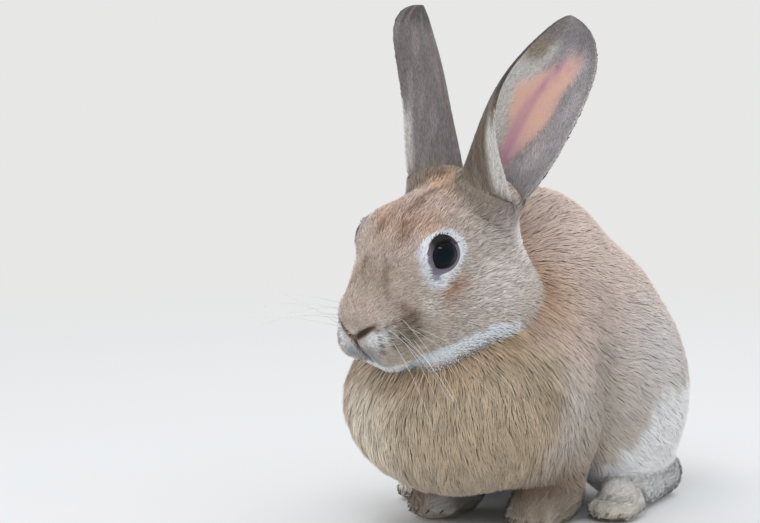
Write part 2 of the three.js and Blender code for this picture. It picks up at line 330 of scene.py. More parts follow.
def eye_opening(around):
    """How far the lids open off the eye's axis, in radians, with a point at the lower front corner."""
    corner = np.angle(np.exp(1j * (around + 0.62)))
    rear = np.angle(np.exp(1j * (around - np.pi)))
    base = 0.93 + 0.05 * np.sin(around)
    return base + 0.17 * np.exp(-((corner / 0.34) ** 2)) - 0.06 * np.exp(-((rear / 0.8) ** 2))


def skin_distance(points):
    """The form under its coat, with eyelids round the eyeballs, nostrils, philtrum and mouth carved in."""
    h = to_head(points)
    distance = form_distance(points) + coat_depth(points)
    for s in SIDES:
        radius, off, around = eye_polar(h, s)
        distance = blend(distance, np.where(off < 2.0, radius - (EYE_RADIUS + 1.0), 50.0), 5)
        hole = radius * (off - eye_opening(around))
        distance = np.where(off < 1.8, carve(distance, hole, 1.2), distance)
        distance = np.minimum(distance, radius - (EYE_RADIUS - 0.8))
    distance = carve(distance, nostril_distance(h), 1.4)
    distance = carve(distance, chain_distance(h, PHILTRUM, (0.9, 0.9, 1.1, 1.2)), 2.0)
    distance = carve(distance, chain_distance(h, EAR_CREASE, (0.4, 1.0, 1.2, 1.0, 0.4)), 5.0)
    return carve(distance, chain_distance(h, MOUTH, (1.0, 1.0, 0.9, 0.7, 0.5)), 2.0)


def grid_line(*stretches):
    """Grid values along one axis, from stretches of (start, end, step)."""
    return np.concatenate([np.arange(start, end - step * 0.01, step) for start, end, step in stretches])


def field_on_grid(axes, distance, near=9.0):
    """A distance at every node of a grid: worked out on every third node first, and at the others only near
    the surface."""
    shape = tuple(len(a) for a in axes)
    picks = [np.arange(1, n, 3) for n in shape]
    coarse = np.stack(np.meshgrid(*[a[p] for a, p in zip(axes, picks)], indexing="ij"), -1)
    values = distance(coarse.reshape(-1, 3)).reshape(coarse.shape[:3])
    owner = [np.minimum(np.arange(n) // 3, len(p) - 1) for n, p in zip(shape, picks)]
    values = values[np.ix_(*owner)]
    close = np.argwhere(np.abs(values) < near)
    for part in np.array_split(close, max(1, len(close) // 150000)):
        points = np.stack([axes[i][part[:, i]] for i in range(3)], -1)
        values[tuple(part.T)] = distance(points)
    return values


def surface_net(axes, values):
    """The surface where values on a grid change sign: one vertex in each cell that it crosses, at the mean of
    the crossings on the cell's edges, and one quad round each crossed edge, its face outwards."""
    shape = tuple(n - 1 for n in values.shape)
    total = np.zeros(shape + (3,))
    count = np.zeros(shape)
    rings = []
    for axis in range(3):
        u, v = (axis + 1) % 3, (axis + 2) % 3
        low = np.moveaxis(values, axis, 0)[:-1]
        high = np.moveaxis(values, axis, 0)[1:]
        crossed = np.moveaxis((low < 0) != (high < 0), 0, axis)
        low, high = np.moveaxis(low, 0, axis)[crossed], np.moveaxis(high, 0, axis)[crossed]
        at = np.argwhere(crossed)
        point = np.stack([axes[i][at[:, i]] for i in range(3)], -1)
        step = axes[axis][at[:, axis] + 1] - axes[axis][at[:, axis]]
        point[:, axis] += step * low / (low - high)
        cells = []
        for du, dv in ((0, 0), (-1, 0), (-1, -1), (0, -1)):
            cell = at.copy()
            cell[:, u] += du
            cell[:, v] += dv
            np.add.at(total, tuple(cell.T), point)
            np.add.at(count, tuple(cell.T), 1)
            cells.append(np.ravel_multi_index(tuple(cell.T), shape))
        ring = np.stack(cells, -1)
        ring[low > 0] = ring[low > 0][:, ::-1]
        rings.append(ring)
    used = np.flatnonzero(count.ravel())
    number = np.full(count.size, -1)
    number[used] = np.arange(len(used))
    points = total.reshape(-1, 3)[used] / count.ravel()[used, None]
    return points, number[np.concatenate(rings)]


def relaxed(points, quads, rounds=2):
    """Each vertex moved to the mean of its neighbours along the quads' edges."""
    ends = np.concatenate([quads[:, [i, (i + 1) % 4]] for i in range(4)])
    for _ in range(rounds):
        total = np.zeros_like(points)
        count = np.zeros(len(points))
        for a, b in ((0, 1), (1, 0)):
            np.add.at(total, ends[:, a], points[ends[:, b]])
            np.add.at(count, ends[:, a], 1)
        points = mix(points, total / count[:, None], 0.7)
    return points


def skin_and_ear_feet(points):
    """The skin's distance with the ears' feet swelling out of the head, standing flat on the floor."""
    distance = blend(skin_distance(points), ear_stub_distance(points), 7)
    return np.maximum(distance, 0.4 - points[:, 2])


def body_skin():
    """The skin without its ears: a surface net, finest over the face, settled onto the skin's distance."""
    axes = (
        grid_line((-90, -54, 3), (-54, 56, 1.0), (56, 92, 3)),
        grid_line((-160, -92, 1.0), (-92, -26, 1.4), (-26, 176, 3)),
        grid_line((-3, 96, 3), (96, 222, 1.0)),
    )
    points, quads = surface_net(axes, field_on_grid(axes, skin_and_ear_feet))
    points = relaxed(points, quads)
    return settle(points, skin_and_ear_feet, 4), quads


# ------------------------------------------------------------------ ears


def ear_half(share, ear):
    """Half the leaf's width along its bend: a sine rise to the widest place, then a round fall to the tip."""
    rise = np.sin(np.clip(share / ear["widest_at"], 0, 1) * np.pi / 2) ** 1.3
    past = np.clip((share - ear["widest_at"]) / (1 - ear["widest_at"]), 0, 1)
    low = ear["root_half"] + (ear["full_half"] - ear["root_half"]) * rise
    return np.where(share < ear["widest_at"], low, ear["full_half"] * np.sqrt(1 - past ** ear["fall"]))


def ear_axes(s):
    """The ear's directions in the head's frame: along it, out of its opening, and across to its rear rim."""
    along = unit(np.array(EARS[s]["along"], float))
    opening = np.array(EARS[s]["opening"], float)
    opening = unit(opening - along * (opening @ along))
    return along, opening, np.cross(along, opening) * s


def ear_ring(share, s):
    """The leaf's roll, how much further its front half wraps, its radius and its centre, at a share of its
    length."""
    ear = EARS[s]
    along, opening, across = ear_axes(s)
    share = np.asarray(share, float)
    low = np.minimum(1 - share, 1)
    roll = mix(ear["tip_roll"], ear["root_roll"], low ** ear["fade"])
    wrap = 1 + ear["wrap"] * np.maximum(1 - (1 - low) / 0.75, 0) ** 1.4
    radius = ear_half(share, ear) / roll
    centre = np.array(ear["root"], float) + along * (share * ear["length"])[..., None]
    centre = centre + opening * (radius * (1 - 0.9 * (1 - share) ** ear["lean"]))[..., None]
    return roll, wrap, radius, centre + across * (ear["bow"] * 6.75 * share * (1 - share) ** 2)[..., None]


def ear_thickness(q, share, coat=EAR_COAT):
    """Half the ear's thickness under its coat, from the middle line (q 0) to the rims (q -1 and 1)."""
    middle = EAR_THICK * (1 - 0.45 * share) - EAR_EDGE
    return np.maximum((EAR_EDGE + middle * (1 - q * q)) / 2 - coat, 0.25)


def ear_point(q, share, face, s, coat=EAR_COAT):
    """A point of the ear's skin in the animal's frame. Face 1 is the back of the ear and -1 its inside."""
    _, opening, across = ear_axes(s)
    roll, wrap, radius, centre = ear_ring(share, s)
    ridge = 0.8 * np.exp(-((q / 0.07) ** 2)) * smooth(share * 3) * (1 - share)
    out = radius + face * (ear_thickness(q, share, coat) + ridge * (face > 0))
    turned = q * roll * np.where(q < 0, wrap, 1.0)
    inward = opening * (out * np.cos(turned))[..., None]
    aside = across * (out * np.sin(turned))[..., None]
    return from_head(centre - inward + aside)


def ear_shell(s, rows=72, points=36):
    """One closed shell: over the back from the front rim to the rear one, and back inside, row by row. A
    strip from the back to the inside closes each end."""
    step = np.linspace(0, 1, rows)
    share = -0.05 + 1.0495 * np.sin(step * np.pi / 2) ** 1.25
    q = -np.cos(np.linspace(0, np.pi, points))
    ring_q = np.concatenate([q, q[::-1]])
    face = np.repeat([1.0, -1.0], points)
    grid = ear_point(ring_q[None, :], share[:, None] + 0 * ring_q, face[None, :], s)
    if s == LEFT:
        grid = grid[:, ::-1]
    around = grid.shape[1]
    number = np.arange(rows * around).reshape(rows, around)
    beside = np.roll(number, -1, 1)
    wall = np.stack([number[:-1], beside[:-1], beside[1:], number[1:]], -1).reshape(-1, 4)
    i = np.arange(points - 1)
    strip = np.stack([i, around - 1 - i, around - 2 - i, i + 1], -1)
    return grid.reshape(-1, 3), np.concatenate([wall, strip, strip[:, ::-1] + number[-1, 0]])


def ear_place(points, s):
    """Where points lie on an ear: share of its length, place across it (-1 front rim, 1 rear rim), distance
    outwards from its middle surface, and distance past its rims."""
    along, opening, across = ear_axes(s)
    h = to_head(points)
    share = (h - np.array(EARS[s]["root"], float)) @ along / EARS[s]["length"]
    roll, wrap, radius, centre = ear_ring(np.clip(share, -0.1, 0.995), s)
    flat = h - centre
    u, v = flat @ opening, flat @ across
    angle = np.arctan2(v, -u)
    angle = np.where(angle > np.pi + roll * (1 - wrap) / 2, angle - 2 * np.pi, angle)
    half = roll * np.where(angle < 0, wrap, 1.0)
    past = np.maximum(np.abs(angle) - half, 0) * radius
    return share, angle / half, np.hypot(u, v) - radius, past


def leaf_distance(points, s, end=1.0):
    """Distance to the middle surface of an ear, up to a share of its length."""
    share, _, out, past = ear_place(points, s)
    beyond = np.maximum(np.maximum(-share - 0.04, share - end), 0) * EARS[s]["length"]
    return np.sqrt(out**2 + past**2 + beyond**2)


def ear_stub_distance(points):
    """The foot of each ear, so that it swells smoothly out of the head."""
    return np.min([leaf_distance(points, s, 0.05) for s in SIDES], axis=0) - 1.3


# ------------------------------------------------------------------ markings


def spot(places, centre, radii):
    """1 at a centre, falling off as a bell over the radii."""
    return np.exp(-(((places - np.array(centre)) / np.array(radii)) ** 2).sum(-1))


def paint(colour, other, share):
    """A colour with another laid over it by a share, point by point."""
    return colour + (np.array(other) - colour) * np.clip(share, 0, 1)[:, None]


FAWN = (0.475, 0.395, 0.335)
FOREHEAD = (0.425, 0.305, 0.258)
BACK = (0.56, 0.45, 0.39)
FLANK = (0.46, 0.405, 0.35)
CHEST = (0.39, 0.305, 0.212)
RUST = (0.33, 0.185, 0.11)
ORANGE = (0.45, 0.27, 0.155)
CREAM = (0.64, 0.56, 0.45)
WHITE = (0.71, 0.705, 0.70)
JAW = (0.66, 0.685, 0.70)
RING = (0.68, 0.69, 0.72)
GREY = (0.37, 0.345, 0.31)
PAD = (0.20, 0.175, 0.125)
LIP = (0.24, 0.26, 0.29)
BROWN = (0.19, 0.125, 0.085)
DARK = (0.05, 0.040, 0.034)
BLACK = (0.010, 0.009, 0.010)
LID = (0.155, 0.14, 0.17)
LID_CORNER = (0.34, 0.33, 0.38)
PEACH = (0.73, 0.45, 0.36)
PINK = (0.62, 0.35, 0.37)
MAUVE = (0.44, 0.20, 0.33)
EAR_GREY = (0.215, 0.195, 0.20)
EAR_BROWN = (0.125, 0.092, 0.065)
EAR_LIGHT = (0.33, 0.29, 0.30)
EAR_ROOT = (0.185, 0.15, 0.12)
EAR_PALE = (0.60, 0.565, 0.53)
EAR_FUR = (0.42, 0.385, 0.39)
EAR_TAWNY = (0.30, 0.25, 0.195)
SHOULDER_PALE = (0.54, 0.49, 0.45)
SHADE_BEHIND_SHOULDER = (0.29, 0.235, 0.195)
HAUNCH_GREY = (0.56, 0.53, 0.51)
FORELEG_SHADE = (0.20, 0.135, 0.085)
MUZZLE_BROWN = (0.30, 0.225, 0.175)
CHEEK = (0.56, 0.50, 0.47)
NAPE_PALE = (0.70, 0.66, 0.64)
IRIS_DARK = (0.006, 0.003, 0.002)
IRIS_BROWN = (0.016, 0.008, 0.004)
PUPIL = (0.001, 0.001, 0.0015)
HORN_DARK = (0.10, 0.065, 0.045)
HORN_PALE = (0.33, 0.25, 0.19)
WHISKER_ROOT = (0.70, 0.68, 0.65)
WHISKER_TIP = (0.88, 0.87, 0.85)
LASH_TIP = (0.05, 0.04, 0.035)


def body_marking(points):
    """Fawn back, greyer flanks, tawny chest, rusty nape, and a white belly, haunch underside and toes.
    Painted shade darkens the lower chest, the neck next to the head, the hollow behind the shoulder and the
    forelegs; a painted patch of light pales the right side of the chest.
    """
    x, y, z = np.abs(points[:, 0]), points[:, 1], points[:, 2]
    p = np.stack([x, y, z], -1)
    broad, _ = waves(points, 46, 11)
    small, _ = waves(points, 15, 12)
    colour = np.tile(np.array(BACK, float), (len(points), 1))
    colour = paint(colour, FLANK, smooth((125 - z + 12 * broad) / 60))
    chest = smooth((-y - 25 + 8 * broad) / 50) * smooth((150 - z) / 30)
    colour = paint(colour, CHEST, chest)
    # painted shade: grey over the lower chest, darker where less light reaches it
    colour = paint(colour, GREY, 0.5 * chest * smooth((58 - z + 10 * small) / 40))
    # painted light: a cream patch on the right side of the chest only, where the light from behind falls
    colour = paint(colour, CREAM, 0.9 * spot(points, (-34, -106, 72), (24, 26, 46)))
    colour = paint(colour, ORANGE, 0.75 * spot(p, (42, -34, 146), (26, 24, 28)))
    colour = paint(colour, RUST, 0.4 * spot(p, (0, -20, 168), (28, 34, 20)))
    # painted shade: darker rust over the neck close to the head, where the cheek and jaw shade it, over the
    # nape's own rust
    colour = paint(colour, RUST, 0.35 * smooth(1 - (head_distance(points) - 1) / 9) * (z < 176))
    colour = paint(colour, BROWN, 0.16 * smooth((small + broad - 0.5) / 1.2) * (1 - chest))
    colour = paint(colour, SHOULDER_PALE, 0.6 * spot(p, (66, -38, 84), (18, 18, 24)))
    # painted shade: dark brown in the hollow behind the shoulder
    colour = paint(colour, SHADE_BEHIND_SHOULDER, 0.5 * spot(p, (62, 8, 98), (22, 18, 44)))
    colour = paint(colour, HAUNCH_GREY, 0.9 * spot(p, (70, 66, 98), (30, 36, 36)))
    edge = 33 + 42 * smooth((y - 18) / 40) - 26 * smooth((y - 92) / 40) + 5 * small
    belly = smooth((edge - z) / 15 + 0.5) * smooth((y + 6) / 20)
    colour = paint(colour, WHITE, belly)
    under = smooth((30 - z) / 16) * smooth((34 - x) / 12) * smooth((y + 70) / 20)
    colour = paint(colour, WHITE, 0.9 * under)
    # painted shade: dark brown over the forelegs, which lie in the shade under the chest
    foreleg = spot(p, (33, -16, 30), (30, 46, 26))
    colour = paint(colour, FORELEG_SHADE, 1.1 * foreleg * (y < 20))
    colour = paint(colour, CREAM, smooth((12 - z) / 10) * smooth((26 - y) / 16) * 0.8)
    hind_foot = smooth((60 - y) / 30) * smooth((y - 2) / 6) * smooth((27 - z) / 8) * smooth((x - 44) / 8)
    colour = paint(colour, CREAM, 0.5 * hind_foot)
    tail = smooth((y - 132) / 8) * smooth((96 - z) / 10)
    colour = paint(colour, BROWN, 0.55 * tail * smooth((z - 52) / 16))
    return paint(colour, WHITE, tail * smooth((56 - z) / 14))


def eye_distances(h, s):
    """Distance off an eye's axis and the way round it, for points near that eye."""
    radius, off, around = eye_polar(h, s)
    flat = np.where(off < np.pi / 2, radius * np.sin(off), 60.0)
    return flat, around, off, radius


def head_marking(points):
    """Ticked fawn face: orange crown with a dark crease, white rings round the eyes, brownish whisker pads,
    white round the nostrils and along the jaw, grey lips, and a rusty patch under each eye. Painted shade
    darkens the nostril slits, the philtrum, the lips' line and the crease at each ear's foot, and a painted
    patch of light whitens the right side of the nose."""
    h = to_head(points)
    hm = np.concatenate([np.abs(h[:, :1]), h[:, 1:]], -1)
    y, z = hm[:, 1], hm[:, 2]
    small, _ = waves(h, 9, 22)
    colour = np.tile(np.array(FAWN, float), (len(points), 1))
    colour = paint(colour, FOREHEAD, 0.95 * spot(hm, (6, 0, 32), (22, 32, 16)))
    colour = paint(colour, MUZZLE_BROWN, 0.8 * spot(hm, (0, -42, 12), (18, 16, 15)))
    colour = paint(colour, FOREHEAD, 0.5 * spot(hm, (0, -58, 5), (9, 6, 6)))
    colour = paint(colour, ORANGE, 0.95 * spot(hm, (3, 39, 28), (17, 15, 12)))
    colour = paint(colour, ORANGE, 0.6 * spot(hm, (18, -4, 29), (6, 8, 7)))
    colour = paint(colour, ORANGE, 0.5 * spot(hm, (6, -14, 29), (6, 12, 9)))
    way = (h[:, 0] - 2 + 0.12 * y + 1.0 * small) / 2.4
    crease = np.exp(-(way**2)) * smooth((y + 22) / 10) * smooth((30 - y) / 12)
    colour = paint(colour, BROWN, crease * (0.7 + 0.3 * smooth((y - 6) / 10)))
    colour = paint(colour, BROWN, 0.85 * spot(hm, (8.5, -17, 28), (3.2, 6.5, 6)))
    colour = paint(colour, BROWN, 0.6 * stroke(hm, BRIDGE_LINE, 2.6) * (0.7 + 0.4 * small))
    for s in SIDES:
        colour = paint(colour, EAR_ROOT, 0.9 * smooth((10 - leaf_distance(points, s, 0.25)) / 8))
    # painted shade: dark brown along the crease at each ear's foot
    colour = paint(colour, BROWN, 0.92 * stroke(hm, EAR_CREASE, 3.0))
    colour = paint(colour, EAR_GREY, 0.6 * spot(hm, (35, 33, 6), (7, 9, 9)))
    colour = paint(colour, GREY, 0.35 * spot(hm, (32, 24, 8), (10, 10, 12)))
    colour = paint(colour, CHEEK, 0.9 * spot(hm, (40, 14, -20), (20, 34, 27)))
    colour = paint(colour, RUST, 0.85 * spot(hm, (33, -12, -6.5), (10, 10, 5)))
    colour = paint(colour, RUST, 0.22 * spot(hm, (34, -14, -14), (12, 12, 8)))
    colour = paint(colour, EAR_PALE, 0.55 * spot(hm, (29, -31, -8), (6, 6, 9)))
    colour = paint(colour, GREY, 0.55 * spot(hm, (36, -16, -32), (12, 14, 6)))
    colour = paint(colour, PAD, 0.95 * spot(hm, (23, -48, -18), (11, 13, 11)))
    colour = paint(colour, BROWN, 0.9 * spot(hm, (24, -42, -10), (6, 6, 9)) * (0.8 + 0.4 * small))
    edge = -36 + 4 * smooth((-y - 42) / 16) - 5 * smooth((y + 4) / 16)
    jaw = smooth((edge - z + 1.2 * small) / 3.5 + 0.3) * smooth((22 - y) / 8)
    colour = paint(colour, JAW, jaw)
    colour = paint(colour, WHITE, 1.2 * spot(hm, (12, -62, -13), (8, 7, 5.5)))
    # painted light: more white on the right side of the nose only, where it is lit, over the white fur round
    # the nostrils
    colour = paint(colour, WHITE, 1.1 * spot(hm, (11, -64, -17), (7, 7, 8)) * (h[:, 0] < 0))
    colour = paint(colour, LIP, 0.95 * spot(hm, (4, -63, -27), (9, 8, 8)))
    colour = paint(colour, BROWN, 0.35 * spot(hm, (3, -64, -4), (7, 8, 4)))
    behind_ear = spot(hm, (32, 54, -15), (10, 13, 11)) * smooth((1 - z) / 6)
    colour = paint(colour, NAPE_PALE, 1.2 * behind_ear)
    dots = np.linalg.norm(hm[:, None] - WHISKER_ROOTS, axis=-1).min(-1)
    colour = paint(colour, DARK, 0.85 * np.exp(-((dots / 1.4) ** 2)))
    for s in SIDES:
        colour = eye_marking(colour, h, s, small)
    # painted shade: dark in the philtrum's groove and along the groove of the lips' line
    colour = paint(colour, DARK, 0.95 * stroke(hm, PHILTRUM, 1.5))
    colour = paint(colour, DARK, 0.55 * stroke(hm, MOUTH[:4], 1.4))
    # painted shade: brown round the nostril slits and black inside them, for the slits' depth
    nostril = nostril_distance(h)
    colour = paint(colour, BROWN, 0.9 * smooth((2.6 - nostril) / 2.2))
    return paint(colour, BLACK, smooth((0.9 - nostril) / 1.2))


def away_from(around, angle, width):
    """A bell over the way round an eye: 1 at an angle, falling off over a width."""
    return np.exp(-((np.angle(np.exp(1j * (around - angle))) / width) ** 2))


def eye_marking(colour, h, s, wobble):
    """A wide soft white ring, wider below the front corner; then the lid's bare rim, dark above. Fur from the
    brow covers the front of the right lid, and its ring is narrower there."""
    flat, around, off, radius = eye_distances(h, s)
    under_brow = away_from(around, 0.8, 1.3) if s == RIGHT else 0.0
    width = 15.6 + 5.0 * away_from(around, -0.75, 0.42) - 2.8 * away_from(around, -1.9, 0.6) + 0.8 * wobble
    width = width - 9.0 * under_brow
    near = radius < 30
    ring = smooth((width - flat) / 6.0 + 0.5)
    colour = paint(colour, RING, 0.97 * ring * near)
    colour = paint(colour, GREY, 0.4 * away_from(around, 1.9, 0.7) * ring * near)
    past = (off - eye_opening(around)) * radius
    above = away_from(around, 1.75, 0.85)
    corner = away_from(around, -0.62, 0.32)
    rim = 1.5 + 3.4 * above + 1.6 * corner
    lid = smooth((rim - past) / 0.8 + 0.5) * near * (radius < 22)
    lid = lid * (1 - 0.8 * under_brow)
    colour = paint(colour, LID, lid)
    colour = paint(colour, LID_CORNER, lid * corner * smooth((past - 0.6) / 1.2))
    dark = lid * np.clip(above * 1.4, 0, 1)
    return paint(colour, BLACK, dark * (0.97 if s == LEFT else 0.5))


def ear_bare(share, q, grain):
    """1 on the bare skin inside an ear, 0 on the fur that grows in from the rims, the root and the tip."""
    rear = 0.40 + 0.26 * smooth((share - 0.1) / 0.4)
    front = 0.20 - 0.30 * smooth((share - 0.2) / 0.4)
    bare = smooth((rear - q) / 0.26 + 0.5 + 0.2 * grain) * smooth((q - front) / 0.16 + 0.5 + 0.12 * grain)
    bare = bare * smooth((0.60 + 0.40 * q - share) / 0.14 + 0.5 + 0.1 * grain)
    return bare * smooth((share - 0.10) / 0.10)


def ear_grain(share, q):
    """A random field of streaks that run up an ear."""
    return waves(np.stack([share * 28, q * 34, share * 0], -1), 7, 31)[0]


def ear_marking(share, q, back, s):
    """Outside: grizzled grey-brown, lighter behind with painted light shining through the thin ear, a dark
    middle line, dark front rim and tip. Inside: peach with a mauve vein behind the middle, a white band along
    the front rim, grey fur along the rear one."""
    grain = ear_grain(share, q)
    outside = np.tile(np.array(EAR_GREY, float) * 0.86, (len(share), 1))
    brown = 0.9 * smooth((-q - 0.1) / 0.3) + 0.4 * smooth((0.25 - share) / 0.25)
    outside = paint(outside, EAR_BROWN, brown * (1.0 if s == LEFT else 0.3))
    # painted light: paler pinkish grey over the rear half of the ear's back, as where light shines through
    # the thin ear
    outside = paint(outside, EAR_LIGHT, 0.45 * smooth((q - 0.15) / 0.45))
    outside = paint(outside, BROWN, 0.4 * np.exp(-((q / 0.12) ** 2)) * smooth(share * 3))
    outside = paint(outside, DARK, 0.7 * smooth((share - 0.8) / 0.14))
    rim = smooth((-q - 0.58) / 0.2) * smooth((share - 0.44) / 0.16)
    outside = paint(outside, DARK, (0.95 if s == LEFT else 0.25) * rim)
    outside = paint(outside, EAR_LIGHT, 0.25 * smooth(grain))
    low_rim = smooth((-q - 0.76) / 0.12) * smooth((0.46 - share) / 0.16) * smooth((share - 0.04) / 0.06)
    outside = paint(outside, EAR_PALE, (0.9 if s == LEFT else 0.5) * low_rim)
    inside = np.tile(np.array(EAR_GREY, float), (len(share), 1))
    inside = paint(inside, EAR_FUR, 0.75 + 0.25 * grain - 0.2 * smooth((q - 0.85) / 0.15))
    inside = paint(inside, EAR_PALE, smooth((0.26 - q) / 0.2) * smooth((share - 0.12) / 0.12))
    inside = paint(inside, EAR_TAWNY, smooth((share - 0.66) / 0.1) * smooth((0.15 - q) / 0.3))
    inside = paint(inside, EAR_GREY, 0.8 * smooth((share - 0.78) / 0.12))
    bare = ear_bare(share, q, grain)
    skin = np.tile(np.array(PEACH, float), (len(share), 1))
    skin = paint(skin, PINK, 0.8 * smooth((0.45 - share) / 0.35) + 0.5 * smooth((share - 0.62) / 0.2))
    middle = 0.27 + 0.05 * smooth((0.35 - share) / 0.2) + 0.14 * smooth((share - 0.5) / 0.3)
    vein = np.exp(-(((q - middle) / (0.032 + 0.10 * (1 - share) ** 2)) ** 2))
    skin = paint(skin, MAUVE, 0.75 * vein)
    branch = np.exp(-(((q - middle - 0.5 * np.abs(share - 0.42)) / 0.02) ** 2)) * smooth((share - 0.42) * 6)
    skin = paint(skin, MAUVE, 0.25 * branch)
    inside = inside + (skin - inside) * bare[:, None]
    return np.where(back[:, None], outside, inside)


def marking(points):
    """The coat's and the skin's colour at points of the animal, linear red, green and blue."""
    head = smooth((body_distance(points) - head_distance(points)) / 6 + 0.5)
    return mix(body_marking(points), head_marking(points), head[:, None])


def skin_marking(points):
    """The marking, and on the ears the ear's own."""
    colour = marking(points)
    for s in SIDES:
        share, q, out, _ = ear_place(points, s)
        on_ear = smooth((5.0 - leaf_distance(points, s)) / 3.0) * smooth((share - 0.02) / 0.08)
        colour = mix(colour, ear_marking(share, np.clip(q, -1, 1), out > 0, s), on_ear[:, None])
    return colour


# ------------------------------------------------------------------ meshes


FRAME_SHIFT = np.array([0, -7.317, 0])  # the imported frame's origin is under the middle of the model's box


def to_metres(points):
    return (np.asarray(points, float) + FRAME_SHIFT) * MM


def new_mesh(name, points, corners, starts):
    """A mesh from points in millimetres, the corner list of its faces and where each face starts in it."""
    mesh = bpy.data.meshes.new(name)
    mesh.vertices.add(len(points))
    mesh.vertices.foreach_set("co", to_metres(points).astype(np.float32).ravel())
    mesh.loops.add(len(corners))
    mesh.loops.foreach_set("vertex_index", corners.astype(np.int32))
    mesh.polygons.add(len(starts))
    mesh.polygons.foreach_set("loop_start", starts.astype(np.int32))
    mesh.update(calc_edges=True)
    mesh.validate()
    mesh.polygons.foreach_set("use_smooth", np.ones(len(mesh.polygons), bool))
    return mesh


def show(name, mesh, material, nodes=()):
    """Adds a mesh to the scene as a piece of the animal."""
    piece = bpy.data.objects.new(name, mesh)
    bpy.context.scene.collection.objects.link(piece)
    mesh.materials.clear()
    mesh.materials.append(material)
    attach(piece, "root")
    if nodes:
        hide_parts(*nodes)
    return piece


def mesh_points(mesh):
    """A mesh's points, back in millimetres of the animal's own frame."""
    points = np.empty(len(mesh.vertices) * 3, np.float32)
    mesh.vertices.foreach_get("co", points)
    return points.reshape(-1, 3).astype(float) / MM - FRAME_SHIFT


def set_colours(mesh, name, colours):
    """A colour at every vertex."""
    layer = mesh.color_attributes.new(name, "FLOAT_COLOR", "POINT")
    full = np.ones((len(colours), 4), np.float32)
    full[:, :3] = colours
    layer.data.foreach_set("color", full.ravel())


def set_values(mesh, name, values):
    """A number at every vertex."""
    layer = mesh.attributes.new(name, "FLOAT", "POINT")
    layer.data.foreach_set("value", np.asarray(values, np.float32))


# ------------------------------------------------------------------ materials


class Flow:
    """A socket in a material's node tree. Arithmetic on it adds Math nodes."""

    def __init__(self, finish, socket):
        self.finish = finish
        self.socket = socket

    def math(self, operation, *values):
        node = self.finish.node("ShaderNodeMath", {"operation": operation}, dict(enumerate(values)))
        return Flow(self.finish, node.outputs[0])

    def __add__(self, other):
        return self.math("ADD", self, other)

    def __sub__(self, other):
        return self.math("SUBTRACT", self, other)

    def __mul__(self, other):
        return self.math("MULTIPLY", self, other)

    def __truediv__(self, other):
        return self.math("DIVIDE", self, other)

    def __rsub__(self, other):
        return self.math("SUBTRACT", other, self)

    def clamp(self):
        return self.math("MINIMUM", self.math("MAXIMUM", self, 0.0), 1.0)

    __radd__ = __add__
    __rmul__ = __mul__


class Finish:
    """A material being made: a Principled shader with constants, and nodes that feed its colour and bump."""

    def __init__(self, name, **constants):
        self.material = bpy.data.materials.new(name)
        self.material.use_nodes = True
        self.tree = self.material.node_tree
        self.tree.nodes.clear()
        self.output = self.tree.nodes.new("ShaderNodeOutputMaterial")
        self.shader = self.tree.nodes.new("ShaderNodeBsdfPrincipled")
        self.tree.links.new(self.shader.outputs[0], self.output.inputs[0])
        for key, value in constants.items():
            self.shader.inputs[key.replace("_", " ")].default_value = value

    def node(self, kind, settings=None, inputs=None):
        """A node of a kind: its settings first, then the values or links of its sockets."""
        node = self.tree.nodes.new(kind)
        for key, value in (settings or {}).items():
            setattr(node, key, value)
        for key, value in (inputs or {}).items():
            self.join(node.inputs[key], value)
        return node

    def join(self, socket, value):
        if isinstance(value, Flow):
            self.tree.links.new(value.socket, socket)
        else:
            socket.default_value = value

    def feed(self, name, value):
        self.join(self.shader.inputs[name], value)

    def cover(self, share, other):
        """Another shader laid over the Principled one by a share."""
        inputs = {0: share, 1: Flow(self, self.shader.outputs[0]), 2: Flow(self, other.outputs[0])}
        laid = self.node("ShaderNodeMixShader", None, inputs)
        self.tree.links.new(laid.outputs[0], self.output.inputs[0])

    def attribute(self, name, output="Fac"):
        return Flow(self, self.node("ShaderNodeAttribute", {"attribute_name": name}).outputs[output])

    def place(self):
        return Flow(self, self.node("ShaderNodeTexCoord").outputs["Object"])

    def noise(self, scale, detail=2.0):
        inputs = {"Vector": self.place(), "Scale": scale, "Detail": detail}
        return Flow(self, self.node("ShaderNodeTexNoise", None, inputs).outputs["Fac"])

    def mixed(self, share, a, b):
        """Colour a with colour b over it by a share."""
        settings = {"data_type": "RGBA", "blend_type": "MIX"}
        return Flow(self, self.node("ShaderNodeMix", settings, {0: share, 6: a, 7: b}).outputs[2])

    def scaled(self, colour, amount):
        """A colour made lighter or darker by a number."""
        node = self.node("ShaderNodeVectorMath", {"operation": "SCALE"}, {0: colour, "Scale": amount})
        return Flow(self, node.outputs[0])

    def bump(self, height, distance, strength):
        inputs = {"Height": height, "Distance": distance, "Strength": strength}
        self.feed("Normal", Flow(self, self.node("ShaderNodeBump", None, inputs).outputs[0]))


def coat_finish():
    """Hair: each blade a little darker at its root, some with a dark or a pale tip."""
    f = Finish("coat", Roughness=0.75, Specular_IOR_Level=0.2, Sheen_Weight=0.15, Sheen_Roughness=0.5)
    along = f.attribute("along")
    chance = f.attribute("chance")
    base = f.attribute("marking", "Color")
    root = (along * 2.4).clamp()
    tone = (0.96 + 0.42 * root) * (0.88 + 0.24 * chance)
    dark_tip = ((along - 0.15) * 2.2).clamp() * ((chance - 0.84) * 12.0).clamp()
    light_tip = ((along - 0.35) * 2.0).clamp() * ((0.45 - chance) * 4.0).clamp()
    colour = f.scaled(base, tone * (1 - 0.58 * dark_tip) * (1 + 0.26 * light_tip))
    f.feed("Base Color", colour)
    f.feed("Roughness", 0.68 + 0.12 * f.noise(900.0))
    return f.material


